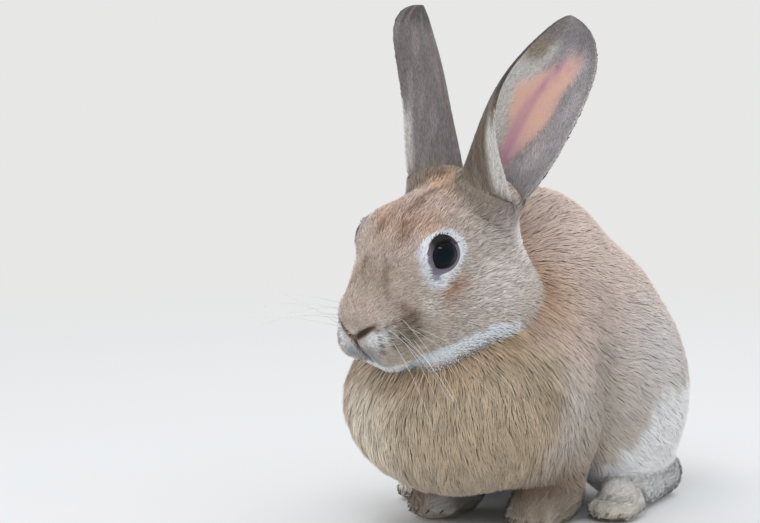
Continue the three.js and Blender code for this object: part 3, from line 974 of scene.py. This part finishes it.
def skin_finish():
    """Skin and the flat short hair on it: the marking, flecked a little, over fine bumps."""
    f = Finish("skin", Roughness=0.8, Specular_IOR_Level=0.12)
    base = f.attribute("marking", "Color")
    fleck = f.noise(1500.0, 3.0)
    f.feed("Base Color", f.scaled(base, 1.08 + 0.34 * fleck))
    f.feed("Roughness", 0.62 + 0.2 * fleck)
    f.bump(f.noise(1300.0, 3.0), 0.0004, 0.5)
    return f.material


def eye_finish():
    """A wet dark eye: a wide black pupil in an iris of the darkest brown."""
    # painted reflection colour: a blue tint on the eye's reflections, as of a blue sky
    f = Finish("eye", Roughness=0.03, Specular_IOR_Level=0.22, Specular_Tint=(0.5, 0.72, 1.0, 1))
    off = f.attribute("off_axis")
    rays = f.noise(700.0, 4.0)
    iris = f.mixed(rays, (*IRIS_DARK, 1), (*IRIS_BROWN, 1))
    pupil = ((0.80 - off) * 20.0).clamp()
    f.feed("Base Color", f.mixed(pupil, iris, (*PUPIL, 1)))
    return f.material


def claw_finish():
    """Horn: brown, mottled dark and pale, with fine growth lines."""
    f = Finish("claw", Roughness=0.35, Specular_IOR_Level=0.5, Coat_Weight=0.15, Coat_Roughness=0.2)
    grain = f.noise(900.0, 3.0)
    f.feed("Base Color", f.mixed(grain, (*HORN_DARK, 1), (*HORN_PALE, 1)))
    f.feed("Roughness", 0.3 + 0.2 * grain)
    f.bump(grain, 0.0001, 0.4)
    return f.material


def whisker_finish(name, colour, tip):
    """A single stiff hair, paler or darker towards its tip."""
    f = Finish(name, Roughness=0.35, Specular_IOR_Level=0.5)
    f.feed("Base Color", f.mixed(f.attribute("along"), (*colour, 1), (*tip, 1)))
    return f.material


# ------------------------------------------------------------------ coat


def cell_choice(points, size, seed):
    """One point out of each cell of a cubic lattice, which spreads random points evenly."""
    shift = np.random.default_rng(seed).uniform(0, size, 3)
    cells = np.floor((points + shift) / size).astype(np.int64) + 4096
    keys = (cells[:, 0] * 8192 + cells[:, 1]) * 8192 + cells[:, 2]
    return np.unique(keys, return_index=True)[1]


def scatter(points, quads, count, rng):
    """Random places on a mesh of quads, each face chosen by its area."""
    corners = points[quads]
    cross = np.cross(corners[:, 2] - corners[:, 0], corners[:, 3] - corners[:, 1])
    area = np.linalg.norm(cross, axis=-1)
    face = rng.choice(len(quads), count, p=area / area.sum())
    u, v = rng.uniform(0, 1, (2, count, 1))
    a, b, c, d = np.moveaxis(corners[face], 1, 0)
    return mix(mix(a, b, u), mix(d, c, u), v)


def clump_centres(points, size, seed):
    """For each point the nearest of a set of random centres, one to each cubic cell, and a number from 0 to 1
    that the cell's members share."""
    cells = np.floor(points / size).astype(np.int64)
    best = np.full(len(points), np.inf)
    centre = np.zeros_like(points)
    share = np.zeros(len(points))
    for step in np.ndindex(3, 3, 3):
        cell = cells + np.array(step) - 1
        jitter = [cell_noise(cell, seed + i) for i in range(4)]
        here = (cell + np.stack(jitter[:3], -1)) * size
        away = ((points - here) ** 2).sum(-1)
        closer = away < best
        best = np.where(closer, away, best)
        centre[closer] = here[closer]
        share[closer] = jitter[3][closer]
    return centre, share


def cell_noise(cell, seed):
    """A number from 0 to 1 that belongs to a cell: the fraction of a large sine of its place."""
    turns = np.sin(cell @ np.array([127.1, 311.7, 74.7]) + seed * 37.7) * 43758.5453
    return turns - np.floor(turns)


def lie_of(points, normals):
    """Which way the coat lies: back over the head from the nose and away from the eyes, up the ears' feet,
    out and down from the throat over the body, and forward on the feet. Laid into the surface."""
    h = to_head(points)
    body_way = unit(points - np.array([0, -78, 152]) + np.array([0, 0, -26]))
    on_foot = smooth(1 - (feet_distance(points) + 1) / 8) * smooth((30 - points[:, 2]) / 12)
    body_way = mix(body_way, np.array([0, -1.0, -0.25]), on_foot[:, None])
    head_way = unit(h - np.array([0, -66, -10])) * np.array([1, 1, 0.8]) + np.array([0, 0.25, -0.15])
    for s in SIDES:
        from_eye = h - EYE_AT[s]
        near = np.exp(-((np.linalg.norm(from_eye, axis=-1) / 17) ** 4))
        head_way = mix(head_way, unit(from_eye), 0.75 * near[:, None])
        on_ear_foot = smooth(1 - leaf_distance(points, s, 0.3) / 7)
        head_way = mix(head_way, ear_axes(s)[0], 0.9 * on_ear_foot[:, None])
    on_head = smooth((body_distance(points) - head_distance(points)) / 8 + 0.5)
    way = mix(body_way, head_way @ HEAD_AXES.T, on_head[:, None])
    return unit(way - normals * (way * normals).sum(-1, keepdims=True))


def strand_mesh(name, path, side, up, width, flat, wide_at, data, patch):
    """Closed three-sided blades joined in one mesh. Each is a path of rings and a tip; a ring's corners are
    the path + side x width x cos + up x width x flatness x sin at 90, 210 and 330 degrees."""
    count, rings = path.shape[0], path.shape[1] - 1
    angles = np.radians([90, 210, 330])
    across = side[:, None] * np.cos(angles)[:, None] + up[:, None] * np.sin(angles)[:, None] * flat
    ring = path[:, :-1, None, :] + (width[:, None] * np.array(wide_at))[:, :, None, None] * across[:, None]
    points = np.concatenate([ring.reshape(count, rings * 3, 3), path[:, -1:]], 1)
    faces, faces_uv = blade_faces(rings)
    number = (np.arange(count) * (rings * 3 + 1))[:, None]
    corners = (faces[None, :] + number).ravel()
    sizes = np.tile(blade_sizes(rings), count)
    starts = np.concatenate([[0], np.cumsum(sizes)[:-1]])
    mesh = new_mesh(name, points.reshape(-1, 3), corners, starts)
    along = np.concatenate([np.repeat(np.arange(rings) / rings, 3), [1.0]])
    set_values(mesh, "along", np.tile(along, count))
    set_values(mesh, "chance", np.repeat(data["chance"], rings * 3 + 1))
    set_colours(mesh, "marking", np.repeat(data["colour"], rings * 3 + 1, axis=0))
    soft = unit(mix(np.repeat(data["normal"][:, None], 3, 1), unit(across), 0.42))
    soft = np.concatenate([np.tile(soft, (1, rings, 1)), data["normal"][:, None]], 1)
    mesh.normals_split_custom_set_from_vertices(soft.reshape(-1, 3).astype(np.float32))
    layer = mesh.uv_layers.new(name="OFBake")
    spread = patch[:, None, :] + (faces_uv[None] - 0.5) * 0.003
    layer.data.foreach_set("uv", spread.astype(np.float32).ravel())
    return mesh


def blade_faces(rings):
    """Corners of one blade's faces, and where each lies in the blade's own patch from 0 to 1: a root
    triangle, three quads from each ring to the next, three triangles to the tip."""
    faces, places = [0, 2, 1], [(0, 0), (0.67, 0), (0.33, 0)]
    for ring in range(rings - 1):
        for i in range(3):
            j = (i + 1) % 3
            low, high = ring * 3, ring * 3 + 3
            faces += [low + i, low + j, high + j, high + i]
            across, along, ahead = i / 3, ring / rings, (ring + 1) / rings
            places += [(across, along), (across + 0.33, along), (across + 0.33, ahead), (across, ahead)]
    last = (rings - 1) * 3
    for i in range(3):
        faces += [last + i, last + (i + 1) % 3, rings * 3]
        across, along = i / 3, (rings - 1) / rings
        places += [(across, along), (across + 0.33, along), (across + 0.17, 1)]
    return np.array(faces), np.array(places)


def blade_sizes(rings):
    return np.array([3] + [4] * (3 * (rings - 1)) + [3] * 3)


def lay(points, offset, form):
    """Points moved along the outer form's slope to a given height over it, or below it if negative."""
    for _ in range(2):
        here = form(points)
        slope = unit(slope_of(points, form, here, 0.5))
        points = points + slope * np.clip(offset - here, -6, 6)[:, None]
    return points


def grow(roots, normals, lie, length, rise, clump, seed, form):
    """The paths of hairs over the body. Each runs along the lie of the coat, is drawn towards the middle of
    its lock, and rises from the skin to the coat's outer form at the same time."""
    rng = np.random.default_rng(seed)
    centre, _ = clump_centres(roots, clump[0], seed + 5)
    pull = centre - roots
    pull = pull - lie * (pull * lie).sum(-1, keepdims=True)
    pull = pull - normals * (pull * normals).sum(-1, keepdims=True)
    stray = rng.normal(0, 1, roots.shape)
    stray = stray - normals * (stray * normals).sum(-1, keepdims=True)
    depth = coat_depth(roots)
    path = []
    for t in (0.0, 0.5, 1.0):
        place = roots + lie * (length * t)[:, None] + pull * clump[1] * t**1.5
        place = place + stray * (length * 0.08 * t * t)[:, None]
        if t > 0:
            place = lay(place, mix(-depth, rise, t**0.7), form)
        path.append(place)
    return np.stack(path, 1)


# ------------------------------------------------------------------ pieces


def flesh_nodes():
    """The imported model's solids of flesh, which the skin stands for."""
    middle = ["head", "neck", "trunk", "tail"]
    paired = ["ear", "thigh", "hind_foot", "foreleg", "forepaw"]
    return middle + [f"{part}_{NAMES[s]}" for part in paired for s in SIDES]


def quad_mesh(name, points, quads, caps=()):
    """A mesh of quads, with faces of many corners that close its ends."""
    corners = np.concatenate([quads.ravel(), *[np.array(cap) for cap in caps]])
    sizes = np.array([4] * len(quads) + [len(cap) for cap in caps])
    return new_mesh(name, points, corners, np.concatenate([[0], np.cumsum(sizes)[:-1]]))


def joined(body, ears):
    """The skin's mesh with the ears' shells joined to it in one surface."""
    bpy.context.scene.collection.objects.link(body)
    for ear in ears:
        bpy.context.scene.collection.objects.link(ear)
        cut = body.modifiers.new("join", "BOOLEAN")
        cut.operation = "UNION"
        cut.solver = "EXACT"
        cut.object = ear
    graph = bpy.context.evaluated_depsgraph_get()
    mesh = bpy.data.meshes.new_from_object(body.evaluated_get(graph))
    for spare in (body, *ears):
        bpy.data.objects.remove(spare)
    return mesh


def refine(mesh, near, distance):
    """Splits the edges of a region in two and settles the new points on the surface."""
    form = bmesh.new()
    form.from_mesh(mesh)
    points = mesh_points(mesh)
    inside = near(points)
    edges = [e for e in form.edges if inside[e.verts[0].index] and inside[e.verts[1].index]]
    bmesh.ops.subdivide_edges(form, edges=edges, cuts=1, use_grid_fill=True)
    form.to_mesh(mesh)
    form.free()
    points = mesh_points(mesh)
    moved = near(points)
    points[moved] = settle(points[moved], distance, 4, 0.2)
    mesh.vertices.foreach_set("co", to_metres(points).astype(np.float32).ravel())
    mesh.update()


def near_eyes(points):
    h = to_head(points)
    return np.min([np.linalg.norm(h - EYE_AT[s], axis=-1) for s in SIDES], axis=0) < 13.5


def near_nose(points):
    h = to_head(points)
    return np.linalg.norm(h - np.array([0, -64, -16]), axis=-1) < 16


def make_skin():
    """The one skin: head, trunk, legs, feet and tail from the net, with the ears joined on."""
    points, quads = body_skin()
    body = bpy.data.objects.new("skin_body", quad_mesh("skin_body", points, quads))
    ears = []
    for s in SIDES:
        ears.append(bpy.data.objects.new("skin_ear", quad_mesh("skin_ear", *ear_shell(s))))
    mesh = joined(body, ears)
    refine(mesh, lambda p: near_eyes(p) | near_nose(p), skin_distance)
    mesh.polygons.foreach_set("use_smooth", np.ones(len(mesh.polygons), bool))
    set_colours(mesh, "marking", skin_marking(mesh_points(mesh)))
    mesh.name = "skin"
    show("skin", mesh, skin_finish(), flesh_nodes())
    return points, quads


def make_eye(s, material):
    """A ball with a slightly bulging cornea, its pole on the eye's axis."""
    rows, around = 48, 64
    off = np.linspace(0, np.pi, rows)[1:-1]
    turn_round = np.arange(around) / around * 2 * np.pi
    way = EYE_WAY[s]
    side = unit(np.cross(way, [0, 0, 1]))
    up = np.cross(side, way)
    radius = EYE_RADIUS + 0.12 * np.exp(-((off / 0.6) ** 2)) - 0.05
    ring = (
        way * np.cos(off)[:, None, None]
        + (side * np.cos(turn_round)[:, None] + up * np.sin(turn_round)[:, None]) * np.sin(off)[:, None, None]
    ) * radius[:, None, None]
    poles = np.array([way * (EYE_RADIUS + 0.07), -way * (EYE_RADIUS - 0.05)])
    points = from_head(EYE_AT[s] + np.concatenate([ring.reshape(-1, 3), poles]))
    number = np.arange(len(off) * around).reshape(len(off), around)
    beside = np.roll(number, -1, 1)
    quads = np.stack([number[1:], beside[1:], beside[:-1], number[:-1]], -1).reshape(-1, 4)
    top, bottom = len(points) - 2, len(points) - 1
    front = [[top, a, b] for a, b in zip(number[0], beside[0])]
    rear = [[bottom, b, a] for a, b in zip(number[-1], beside[-1])]
    mesh = quad_mesh(f"eye_{NAMES[s]}_ball", points, quads, front + rear)
    set_values(mesh, "off_axis", np.concatenate([np.repeat(off, around), [0, np.pi]]))
    show(f"eyeball_{NAMES[s]}", mesh, material, [f"eye_{NAMES[s]}"])


def unwrap(points, centre, low, high):
    """Where places lie on an unwrap of the skin: the angle round the trunk's long line, and the share of its
    length, so that a patch follows the skin's own shape."""
    p = points - centre
    angle = np.arctan2(p[:, 0], p[:, 2]) / (2 * np.pi) + 0.5
    share = np.clip((p[:, 1] - low) / (high - low), 0, 1)
    return np.stack([angle, share], -1) * 0.99 + 0.005


BENT_BLADE = (0.8, 1.0)  # share of its width at a blade's root ring and at its middle ring
STRAIGHT_BLADE = (1.0,)  # a root ring only, and the tip
BLADE_FLATNESS = 0.25
OFF_FLOOR = 0.6
MOST_BLADES = 19500  # bent blades in one piece, so that it stays under 200,000 triangles


def coat_piece(name, hairs, patch, material, seed, most=1.0):
    """Blades over a patch of skin, joined in one piece. Each has a chance up to the most given, and those
    with a chance over 0.84 have dark tips."""
    rng = np.random.default_rng(seed)
    path, lie, normals = hairs["path"], hairs["lie"], hairs["normals"]
    side = unit(np.cross(normals, lie))
    turned = rng.normal(0, 0.25, (len(path), 1))
    up = unit(normals * np.cos(turned) + side * np.sin(turned))
    side = unit(np.cross(up, lie))
    data = {"chance": rng.uniform(0, most, len(path)), "colour": hairs["colour"], "normal": normals}
    path[:, :, 2] = np.maximum(path[:, :, 2], OFF_FLOOR)
    wide_at = BENT_BLADE if path.shape[1] == 3 else STRAIGHT_BLADE
    mesh = strand_mesh(name, path, side, up, hairs["width"] / 2, BLADE_FLATNESS, wide_at, data, patch)
    show(name, mesh, material)


def coat_pieces(area, places, middle, hairs, material, seed, most=1.0):
    """The hairs of an area, cut along its length into pieces of equal count. The places are their roots in
    the frame of the area's unwrap, which goes round its middle."""
    order = np.argsort(places[:, 1])
    for i, part in enumerate(np.array_split(order, math.ceil(len(order) / MOST_BLADES))):
        low, high = places[part, 1].min(), places[part, 1].max()
        patch = unwrap(places[part], np.array(middle, float), low, high)
        mine = {key: values[part] for key, values in hairs.items()}
        coat_piece(f"coat_{area}_{i + 1}", mine, patch, material, seed + i, most)


BODY_TRIES, BODY_SPACING = 460000, 1.34  # random places tried, and the size of the cells that keep one each
HEAD_TRIES, HEAD_SPACING = 560000, 0.95
EAR_TRIES = 44000


def make_body_coat(points, quads, material):
    """Longest on the chest, short on the feet, its locks a little uneven in height, colour and sway."""
    rng = np.random.default_rng(101)
    raw = scatter(points, quads, BODY_TRIES, rng)
    raw = raw[(body_distance(raw) - head_distance(raw) < -1.5) & (raw[:, 2] > 2.0)]
    roots = raw[cell_choice(raw, BODY_SPACING, 5)]
    normals = unit(slope_of(roots, form_distance, form_distance(roots)))
    roots = roots - normals * 0.2
    lie = lie_of(roots, normals)
    sway, _ = waves(roots, 30, 41)
    lie = unit(lie + 0.16 * np.cross(normals, lie) * sway[:, None])
    on_foot = smooth(1 - (feet_distance(roots) + 1) / 8)
    on_chest = smooth((-roots[:, 1] - 10) / 60)
    length = mix(mix(10.5, 15.0, on_chest), 4.5, on_foot) * rng.uniform(0.8, 1.2, len(roots))
    _, lock = clump_centres(roots, 6.0, 106)
    rise = mix(0.2, 0.5, on_chest) + 1.1 * (lock - 0.4) * mix(0.6, 1.1, on_chest)
    rise = rise + rng.normal(0, 0.22, len(roots))
    rise = mix(rise, 0.1, on_foot)
    path = grow(roots, normals, lie, length, rise, (6.0, 0.36), 101, form_distance)
    width = mix(0.73, 0.52, on_foot) * rng.uniform(0.8, 1.2, len(roots))
    colour = body_marking(roots) * (1 + (lock - 0.5) * mix(0.14, 0.34, on_chest))[:, None]
    hairs = dict(path=path, lie=lie, normals=normals, width=width, colour=colour)
    coat_pieces("body", roots, (0, 0, 85), hairs, material, 200, 0.89)


def make_head_coat(points, quads, material):
    """Short and flat, shortest on the muzzle, and none on the lids' rims, the nostrils and the lips' line."""
    rng = np.random.default_rng(301)
    raw = scatter(points, quads, HEAD_TRIES, rng)
    raw = raw[body_distance(raw) - head_distance(raw) > -4.5]
    roots = raw[cell_choice(raw, HEAD_SPACING, 7)]
    h = to_head(roots)
    bare = (nostril_distance(h) < 0.9) | (chain_distance(h, PHILTRUM, [0.0] * 4) < 1.2)
    bare |= chain_distance(h, MOUTH, [0.0] * 5) < 0.8
    for s in SIDES:
        radius, off, around = eye_polar(h, s)
        rim = 1.9 + 1.6 * away_from(around, 1.75, 0.8)
        if s == RIGHT:  # fur from the brow covers the front of this lid
            rim = rim - 3.0 * away_from(around, 0.8, 1.3)
        bare |= (radius < 22) & ((off - eye_opening(around)) * radius < rim)
    roots = roots[~bare]
    h = to_head(roots)
    normals = unit(slope_of(roots, outer_distance, outer_distance(roots)))
    lie = lie_of(roots, normals)
    roots = roots - normals * 0.15
    sway, _ = waves(roots, 18, 43)
    lie = unit(lie + 0.12 * np.cross(normals, lie) * sway[:, None])
    back = smooth((h[:, 1] + 40) / 70)
    length = mix(2.6, 6.0, back) * rng.uniform(0.8, 1.2, len(roots))
    under_jaw = smooth((-30 - h[:, 2]) / 8)
    round_eye = np.min([np.linalg.norm(h - EYE_AT[s], axis=-1) for s in SIDES], axis=0)
    length = mix(length, 2.0, smooth((21 - round_eye) / 6)) * (1 - 0.3 * under_jaw)
    _, lock = clump_centres(roots, 2.6, 306)
    uneven = 0.7 * (lock - 0.4) + rng.normal(0, 0.15, len(roots))
    rise = 0.1 + uneven * smooth((round_eye - 14) / 8) * (1 - 0.5 * under_jaw)
    path = grow(roots, normals, lie, length, rise, (2.6, 0.34), 301, outer_distance)
    width = mix(0.42, 0.6, back) * rng.uniform(0.8, 1.2, len(roots))
    colour = head_marking(roots) * mix(0.80 + 0.38 * lock, 1.0, under_jaw)[:, None]
    hairs = dict(path=path, lie=lie, normals=normals, width=width, colour=colour)
    coat_pieces("head", h, (0, 0, -18), hairs, material, 400)


def make_ear_coat(s, material):
    """Short hair on the back of an ear and round the bare skin of its inside, with a longer pale fringe that
    grows in over the opening from the front rim."""
    rng = np.random.default_rng(500 + s)
    share = rng.uniform(0.01, 0.993, EAR_TRIES)
    q = rng.uniform(-1, 1, EAR_TRIES)
    face = np.where(rng.uniform(0, 1, EAR_TRIES) < 0.58, 1.0, -1.0)
    keep = rng.uniform(0, 1, EAR_TRIES) < ear_half(share, EARS[s]) / EARS[s]["full_half"]
    keep &= (face > 0) | (rng.uniform(0, 1, EAR_TRIES) > ear_bare(share, q, ear_grain(share, q)) * 1.3)
    share, q, face = share[keep], q[keep], face[keep]
    roots = ear_point(q, share, face, s, EAR_COAT + 0.1)
    ahead = ear_point(q, np.minimum(share + 0.02, 0.998), face, s)
    to_rear = ear_point(np.clip(q + 0.02, -1, 1), share, face, s)
    to_front = ear_point(np.clip(q - 0.02, -1, 1), share, face, s)
    across = to_rear - to_front
    along = unit(ahead - ear_point(q, share, face, s))
    normals = unit(np.cross(across, along))
    away = ear_point(q, share, face, s, EAR_COAT - 0.3) - roots
    normals *= np.sign((normals * away).sum(-1, keepdims=True))
    fringe = (face < 0) * smooth((-q - 0.55) / 0.3)
    fringe = fringe * smooth((share - 0.08) / 0.1) * smooth((0.8 - share) / 0.1)
    outward = smooth((np.abs(q) - 0.75) / 0.25) * np.sign(q) * (1 - fringe)
    sideways = 0.25 * outward + 1.3 * fringe + 0.35 * (face < 0) * smooth((0.3 - q) / 0.4) * (1 - fringe)
    sideways -= 0.45 * (face < 0) * smooth((q - 0.5) / 0.2) * smooth((0.85 - q) / 0.1)
    lie = unit(along + unit(across) * sideways[:, None] + 0.10 * rng.normal(0, 1, roots.shape))
    lie = unit(lie - normals * (lie * normals).sum(-1, keepdims=True))
    length = mix(4.6, 2.7, smooth(share * 2)) * rng.uniform(0.75, 1.25, len(share)) * (1 + 2.0 * fringe)
    length *= (1 - 0.35 * np.abs(outward)) * (1 - 0.6 * smooth((share - 0.92) / 0.07))
    lift = (0.10 + 0.08 * rng.uniform(0, 1, len(share)) + 0.12 * fringe)[:, None]
    steps = np.array([0, 1.0])[None, :, None]
    rise = normals[:, None] * (lift[:, None] * steps)
    path = roots[:, None] + (lie[:, None] * steps + rise) * length[:, None, None]
    width = mix(0.50, 0.38, fringe) * rng.uniform(0.8, 1.2, len(share))
    colour = ear_marking(share, q, face > 0, s)
    colour = mix(colour, np.array(EAR_PALE) * 1.15, (0.9 * fringe)[:, None])
    colour = mix(colour, marking(roots), smooth((0.14 - share) / 0.14)[:, None])
    rim = smooth((np.abs(q) - 0.94) / 0.04) * (share < 0.96) * (1 - smooth((-q - 0.5) * 4) * (share > 0.45))
    colour = mix(colour, np.array(EAR_PALE) * 1.1, (0.7 * rim)[:, None])
    colour = colour * (1 + rng.uniform(-0.32, 0.36, (len(share), 1)) * (1 - 0.7 * rim)[:, None])
    patch = np.stack([(q + 1) / 4 + 0.5 * (face < 0), share], -1) * 0.99 + 0.005
    hairs = dict(path=path, lie=lie, normals=normals, width=width, colour=colour)
    coat_piece(f"coat_ear_{NAMES[s]}", hairs, patch, material, 600 + s)


def hair_paths(starts, ends, sag, steps):
    """Bent hairs: straight from start to end, with a sag added that is greatest near the middle."""
    t = np.linspace(0, 1, steps)[None, :, None]
    return starts[:, None] + (ends - starts)[:, None] * t + sag[:, None] * (4 * t * (1 - t))


def tube_mesh(name, paths, root_width, tip_width, sides=5):
    """Thin tapering tubes along paths, closed at both ends."""
    count, steps = paths.shape[:2]
    way = unit(np.gradient(paths, axis=1))
    side = unit(np.cross(way, np.array([0.2, 0.1, 1.0])))
    up = np.cross(way, side)
    angle = np.arange(sides) / sides * 2 * np.pi
    width = mix(root_width, tip_width, np.linspace(0, 1, steps))[None, :, None, None] / 2
    around = side[:, :, None] * np.cos(angle)[:, None] + up[:, :, None] * np.sin(angle)[:, None]
    points = (paths[:, :, None] + around * width).reshape(-1, 3)
    number = np.arange(count * steps * sides).reshape(count, steps, sides)
    beside = np.roll(number, -1, 2)
    quads = np.stack([number[:, :-1], number[:, 1:], beside[:, 1:], beside[:, :-1]], -1).reshape(-1, 4)
    caps = [n.tolist() for n in number[:, 0]] + [n[::-1].tolist() for n in number[:, -1]]
    mesh = quad_mesh(name, points, quads, caps)
    set_values(mesh, "along", np.tile(np.repeat(np.linspace(0, 1, steps), sides), count))
    return mesh


LONG_WHISKERS = [1, 3, 7, 8, 11, 12, 14, 17, 18]  # those of the pad's roots that carry a long whisker
WHISKER_REACH = ([-83, -156, 2], [83, 150, 300])  # the corners of a box that no whisker leaves


def make_whiskers():
    """Fine pale whiskers from the pads: the left ones hang out and down, the right ones sweep out."""
    rng = np.random.default_rng(701)
    white = whisker_finish("whisker", WHISKER_ROOT, WHISKER_TIP)
    for s in SIDES:
        roots = WHISKER_ROOTS[LONG_WHISKERS] * np.array([s, 1, 1])
        roots = from_head(roots) + HEAD_AXES @ np.array([s * 1.0, -0.2, 0])
        if s == LEFT:
            way = np.array([0.62, 0.10, -0.78]) + rng.normal(0, 0.16, roots.shape)
        else:
            way = np.array([-0.96, -0.16, -0.05]) + rng.normal(0, 0.13, roots.shape)
        length = rng.uniform(42, 76, len(roots))
        ends = roots + unit(way) * length[:, None]
        sag = np.array([0.3 * s, -0.35, 0.6]) * (length * 0.12)[:, None]
        paths = hair_paths(roots, ends, sag, 14)
        paths = np.clip(paths, *WHISKER_REACH)
        name = f"whiskers_{NAMES[s]}"
        show(name, tube_mesh(name, paths, 0.24, 0.08), white)


LASHES = 34


def make_lashes():
    """Short dark lashes on the upper lids."""
    rng = np.random.default_rng(711)
    black = whisker_finish("lash", BLACK, LASH_TIP)
    for s in SIDES:
        around = np.linspace(0.95, 2.75, LASHES) + rng.normal(0, 0.03, LASHES)
        off = eye_opening(around) + rng.uniform(0.0, 0.12, LASHES)
        way = EYE_WAY[s]
        forward = unit(np.array([0, -1, 0]) - way * -way[1])
        up = np.cross(forward, way) * s
        out = forward * np.cos(around)[:, None] + up * np.sin(around)[:, None]
        roots = EYE_AT[s] + (way * np.cos(off)[:, None] + out * np.sin(off)[:, None]) * (EYE_RADIUS + 0.9)
        length = rng.uniform(2.5, 5.0, LASHES)[:, None] * (1.0 if s == LEFT else 0.3)
        ends = roots + unit(way * 0.75 + out * 0.75 - forward * 0.35) * length
        paths = from_head(hair_paths(roots, ends, -out * length * 0.08, 7))
        name = f"lashes_{NAMES[s]}"
        show(name, tube_mesh(name, paths, 0.30, 0.08, 4), black)


CAMERA_AT = (737.11, -1424.22, 321.58)
CAMERA_TILT, CAMERA_TURN = 84, 30  # degrees: 6 down from level, 30 to the animal's left
LENS, SENSOR = 127.9, 36


def make_camera():
    """Stands in front and a little to the animal's left, looking slightly down."""
    camera = bpy.data.cameras.new("camera")
    camera.lens = LENS
    camera.sensor_width = SENSOR
    seat = bpy.data.objects.new("camera", camera)
    seat.location = to_metres(CAMERA_AT)
    seat.rotation_euler = (math.radians(CAMERA_TILT), 0, math.radians(CAMERA_TURN))
    bpy.context.scene.collection.objects.link(seat)
    bpy.context.scene.camera = seat


def lamp(name, place, aim, width, height, watts, colour=(1, 1, 1)):
    """A soft rectangle of light, in metres, turned to what it lights."""
    light = bpy.data.lights.new(name, "AREA")
    light.shape = "RECTANGLE"
    light.size = width
    light.size_y = height
    light.energy = watts
    light.color = colour
    holder = bpy.data.objects.new(name, light)
    holder.location = place
    way = np.array(aim, float) - np.array(place, float)
    pitch = math.atan2(math.hypot(way[0], way[1]), -way[2])
    holder.rotation_euler = (pitch, 0, math.atan2(way[1], way[0]) - math.pi / 2)
    bpy.context.scene.collection.objects.link(holder)


STUDIO = (0.80, 0.80, 0.795, 1)
BACKDROP_RAYS = ("Is Camera Ray", "Is Glossy Ray", "Is Transmission Ray")


def make_stage():
    """A pale floor that fades into an even backdrop away from the animal, a pale sky, and soft lamps."""
    mesh = bpy.data.meshes.new("floor")
    turns = np.arange(64) / 64 * 2 * np.pi
    rim = np.stack([np.cos(turns), np.sin(turns), turns * 0], -1) * 30.0
    mesh.from_pydata(rim.tolist(), [], [list(range(64))])
    floor = bpy.data.objects.new("floor", mesh)
    bpy.context.scene.collection.objects.link(floor)
    f = Finish("floor", Base_Color=STUDIO, Roughness=0.9, Specular_IOR_Level=0.1)
    length = f.node("ShaderNodeVectorMath", {"operation": "LENGTH"}, {0: f.place()})
    far = ((Flow(f, length.outputs["Value"]) - 0.35) / 0.9).clamp()
    path = f.node("ShaderNodeLightPath")
    straight, mirrored, through = [Flow(f, path.outputs[ray]) for ray in BACKDROP_RAYS]
    seen = (straight + mirrored + through).clamp()
    glow = f.node("ShaderNodeEmission", None, {"Color": STUDIO})
    f.cover(far * seen, glow)
    mesh.materials.append(f.material)
    make_world()
    lamp("soft_key", (-0.4, -0.8, 1.9), (0, 0, 0.15), 0.9, 0.9, 7.5, (1.0, 0.98, 0.95))
    lamp("soft_sky", (0.57, -1.5, 1.5), (0, 0, 0.15), 0.8, 0.3, 8, (0.88, 0.94, 1.0))
    lamp("soft_back", (0.2, 1.3, 1.5), (0, 0, 0.15), 1.2, 1.2, 6)


def make_world():
    """The sky that lights the animal, and the even backdrop that the camera and reflections see instead."""
    world = bpy.data.worlds.new("sky")
    world.use_nodes = True
    bpy.context.scene.world = world
    tree = world.node_tree
    sky = tree.nodes["Background"]
    sky.inputs["Color"].default_value = (0.93, 0.96, 1.0, 1)
    sky.inputs["Strength"].default_value = 0.80
    backdrop = tree.nodes.new("ShaderNodeBackground")
    backdrop.inputs["Color"].default_value = STUDIO
    path = tree.nodes.new("ShaderNodeLightPath")
    both_skies = tree.nodes.new("ShaderNodeMixShader")
    seen = path.outputs[BACKDROP_RAYS[0]]
    for ray in BACKDROP_RAYS[1:]:
        either = tree.nodes.new("ShaderNodeMath")
        either.operation = "MAXIMUM"
        tree.links.new(seen, either.inputs[0])
        tree.links.new(path.outputs[ray], either.inputs[1])
        seen = either.outputs[0]
    tree.links.new(seen, both_skies.inputs[0])
    tree.links.new(sky.outputs[0], both_skies.inputs[1])
    tree.links.new(backdrop.outputs[0], both_skies.inputs[2])
    tree.links.new(both_skies.outputs[0], tree.nodes["World Output"].inputs[0])


def finish_claws():
    """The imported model's claws stay as they are, in horn."""
    horn = claw_finish()
    for name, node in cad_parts.items():
        if name.startswith("claw"):
            node.data.materials.clear()
            node.data.materials.append(horn)


make_camera()
skin_points, skin_quads = make_skin()
eye_material = eye_finish()
for each_side in SIDES:
    make_eye(each_side, eye_material)
hair = coat_finish()
make_body_coat(skin_points, skin_quads, hair)
make_head_coat(skin_points, skin_quads, hair)
for each_side in SIDES:
    make_ear_coat(each_side, hair)
make_whiskers()
make_lashes()
finish_claws()
make_stage()
bpy.context.scene.view_settings.view_transform = "Standard"
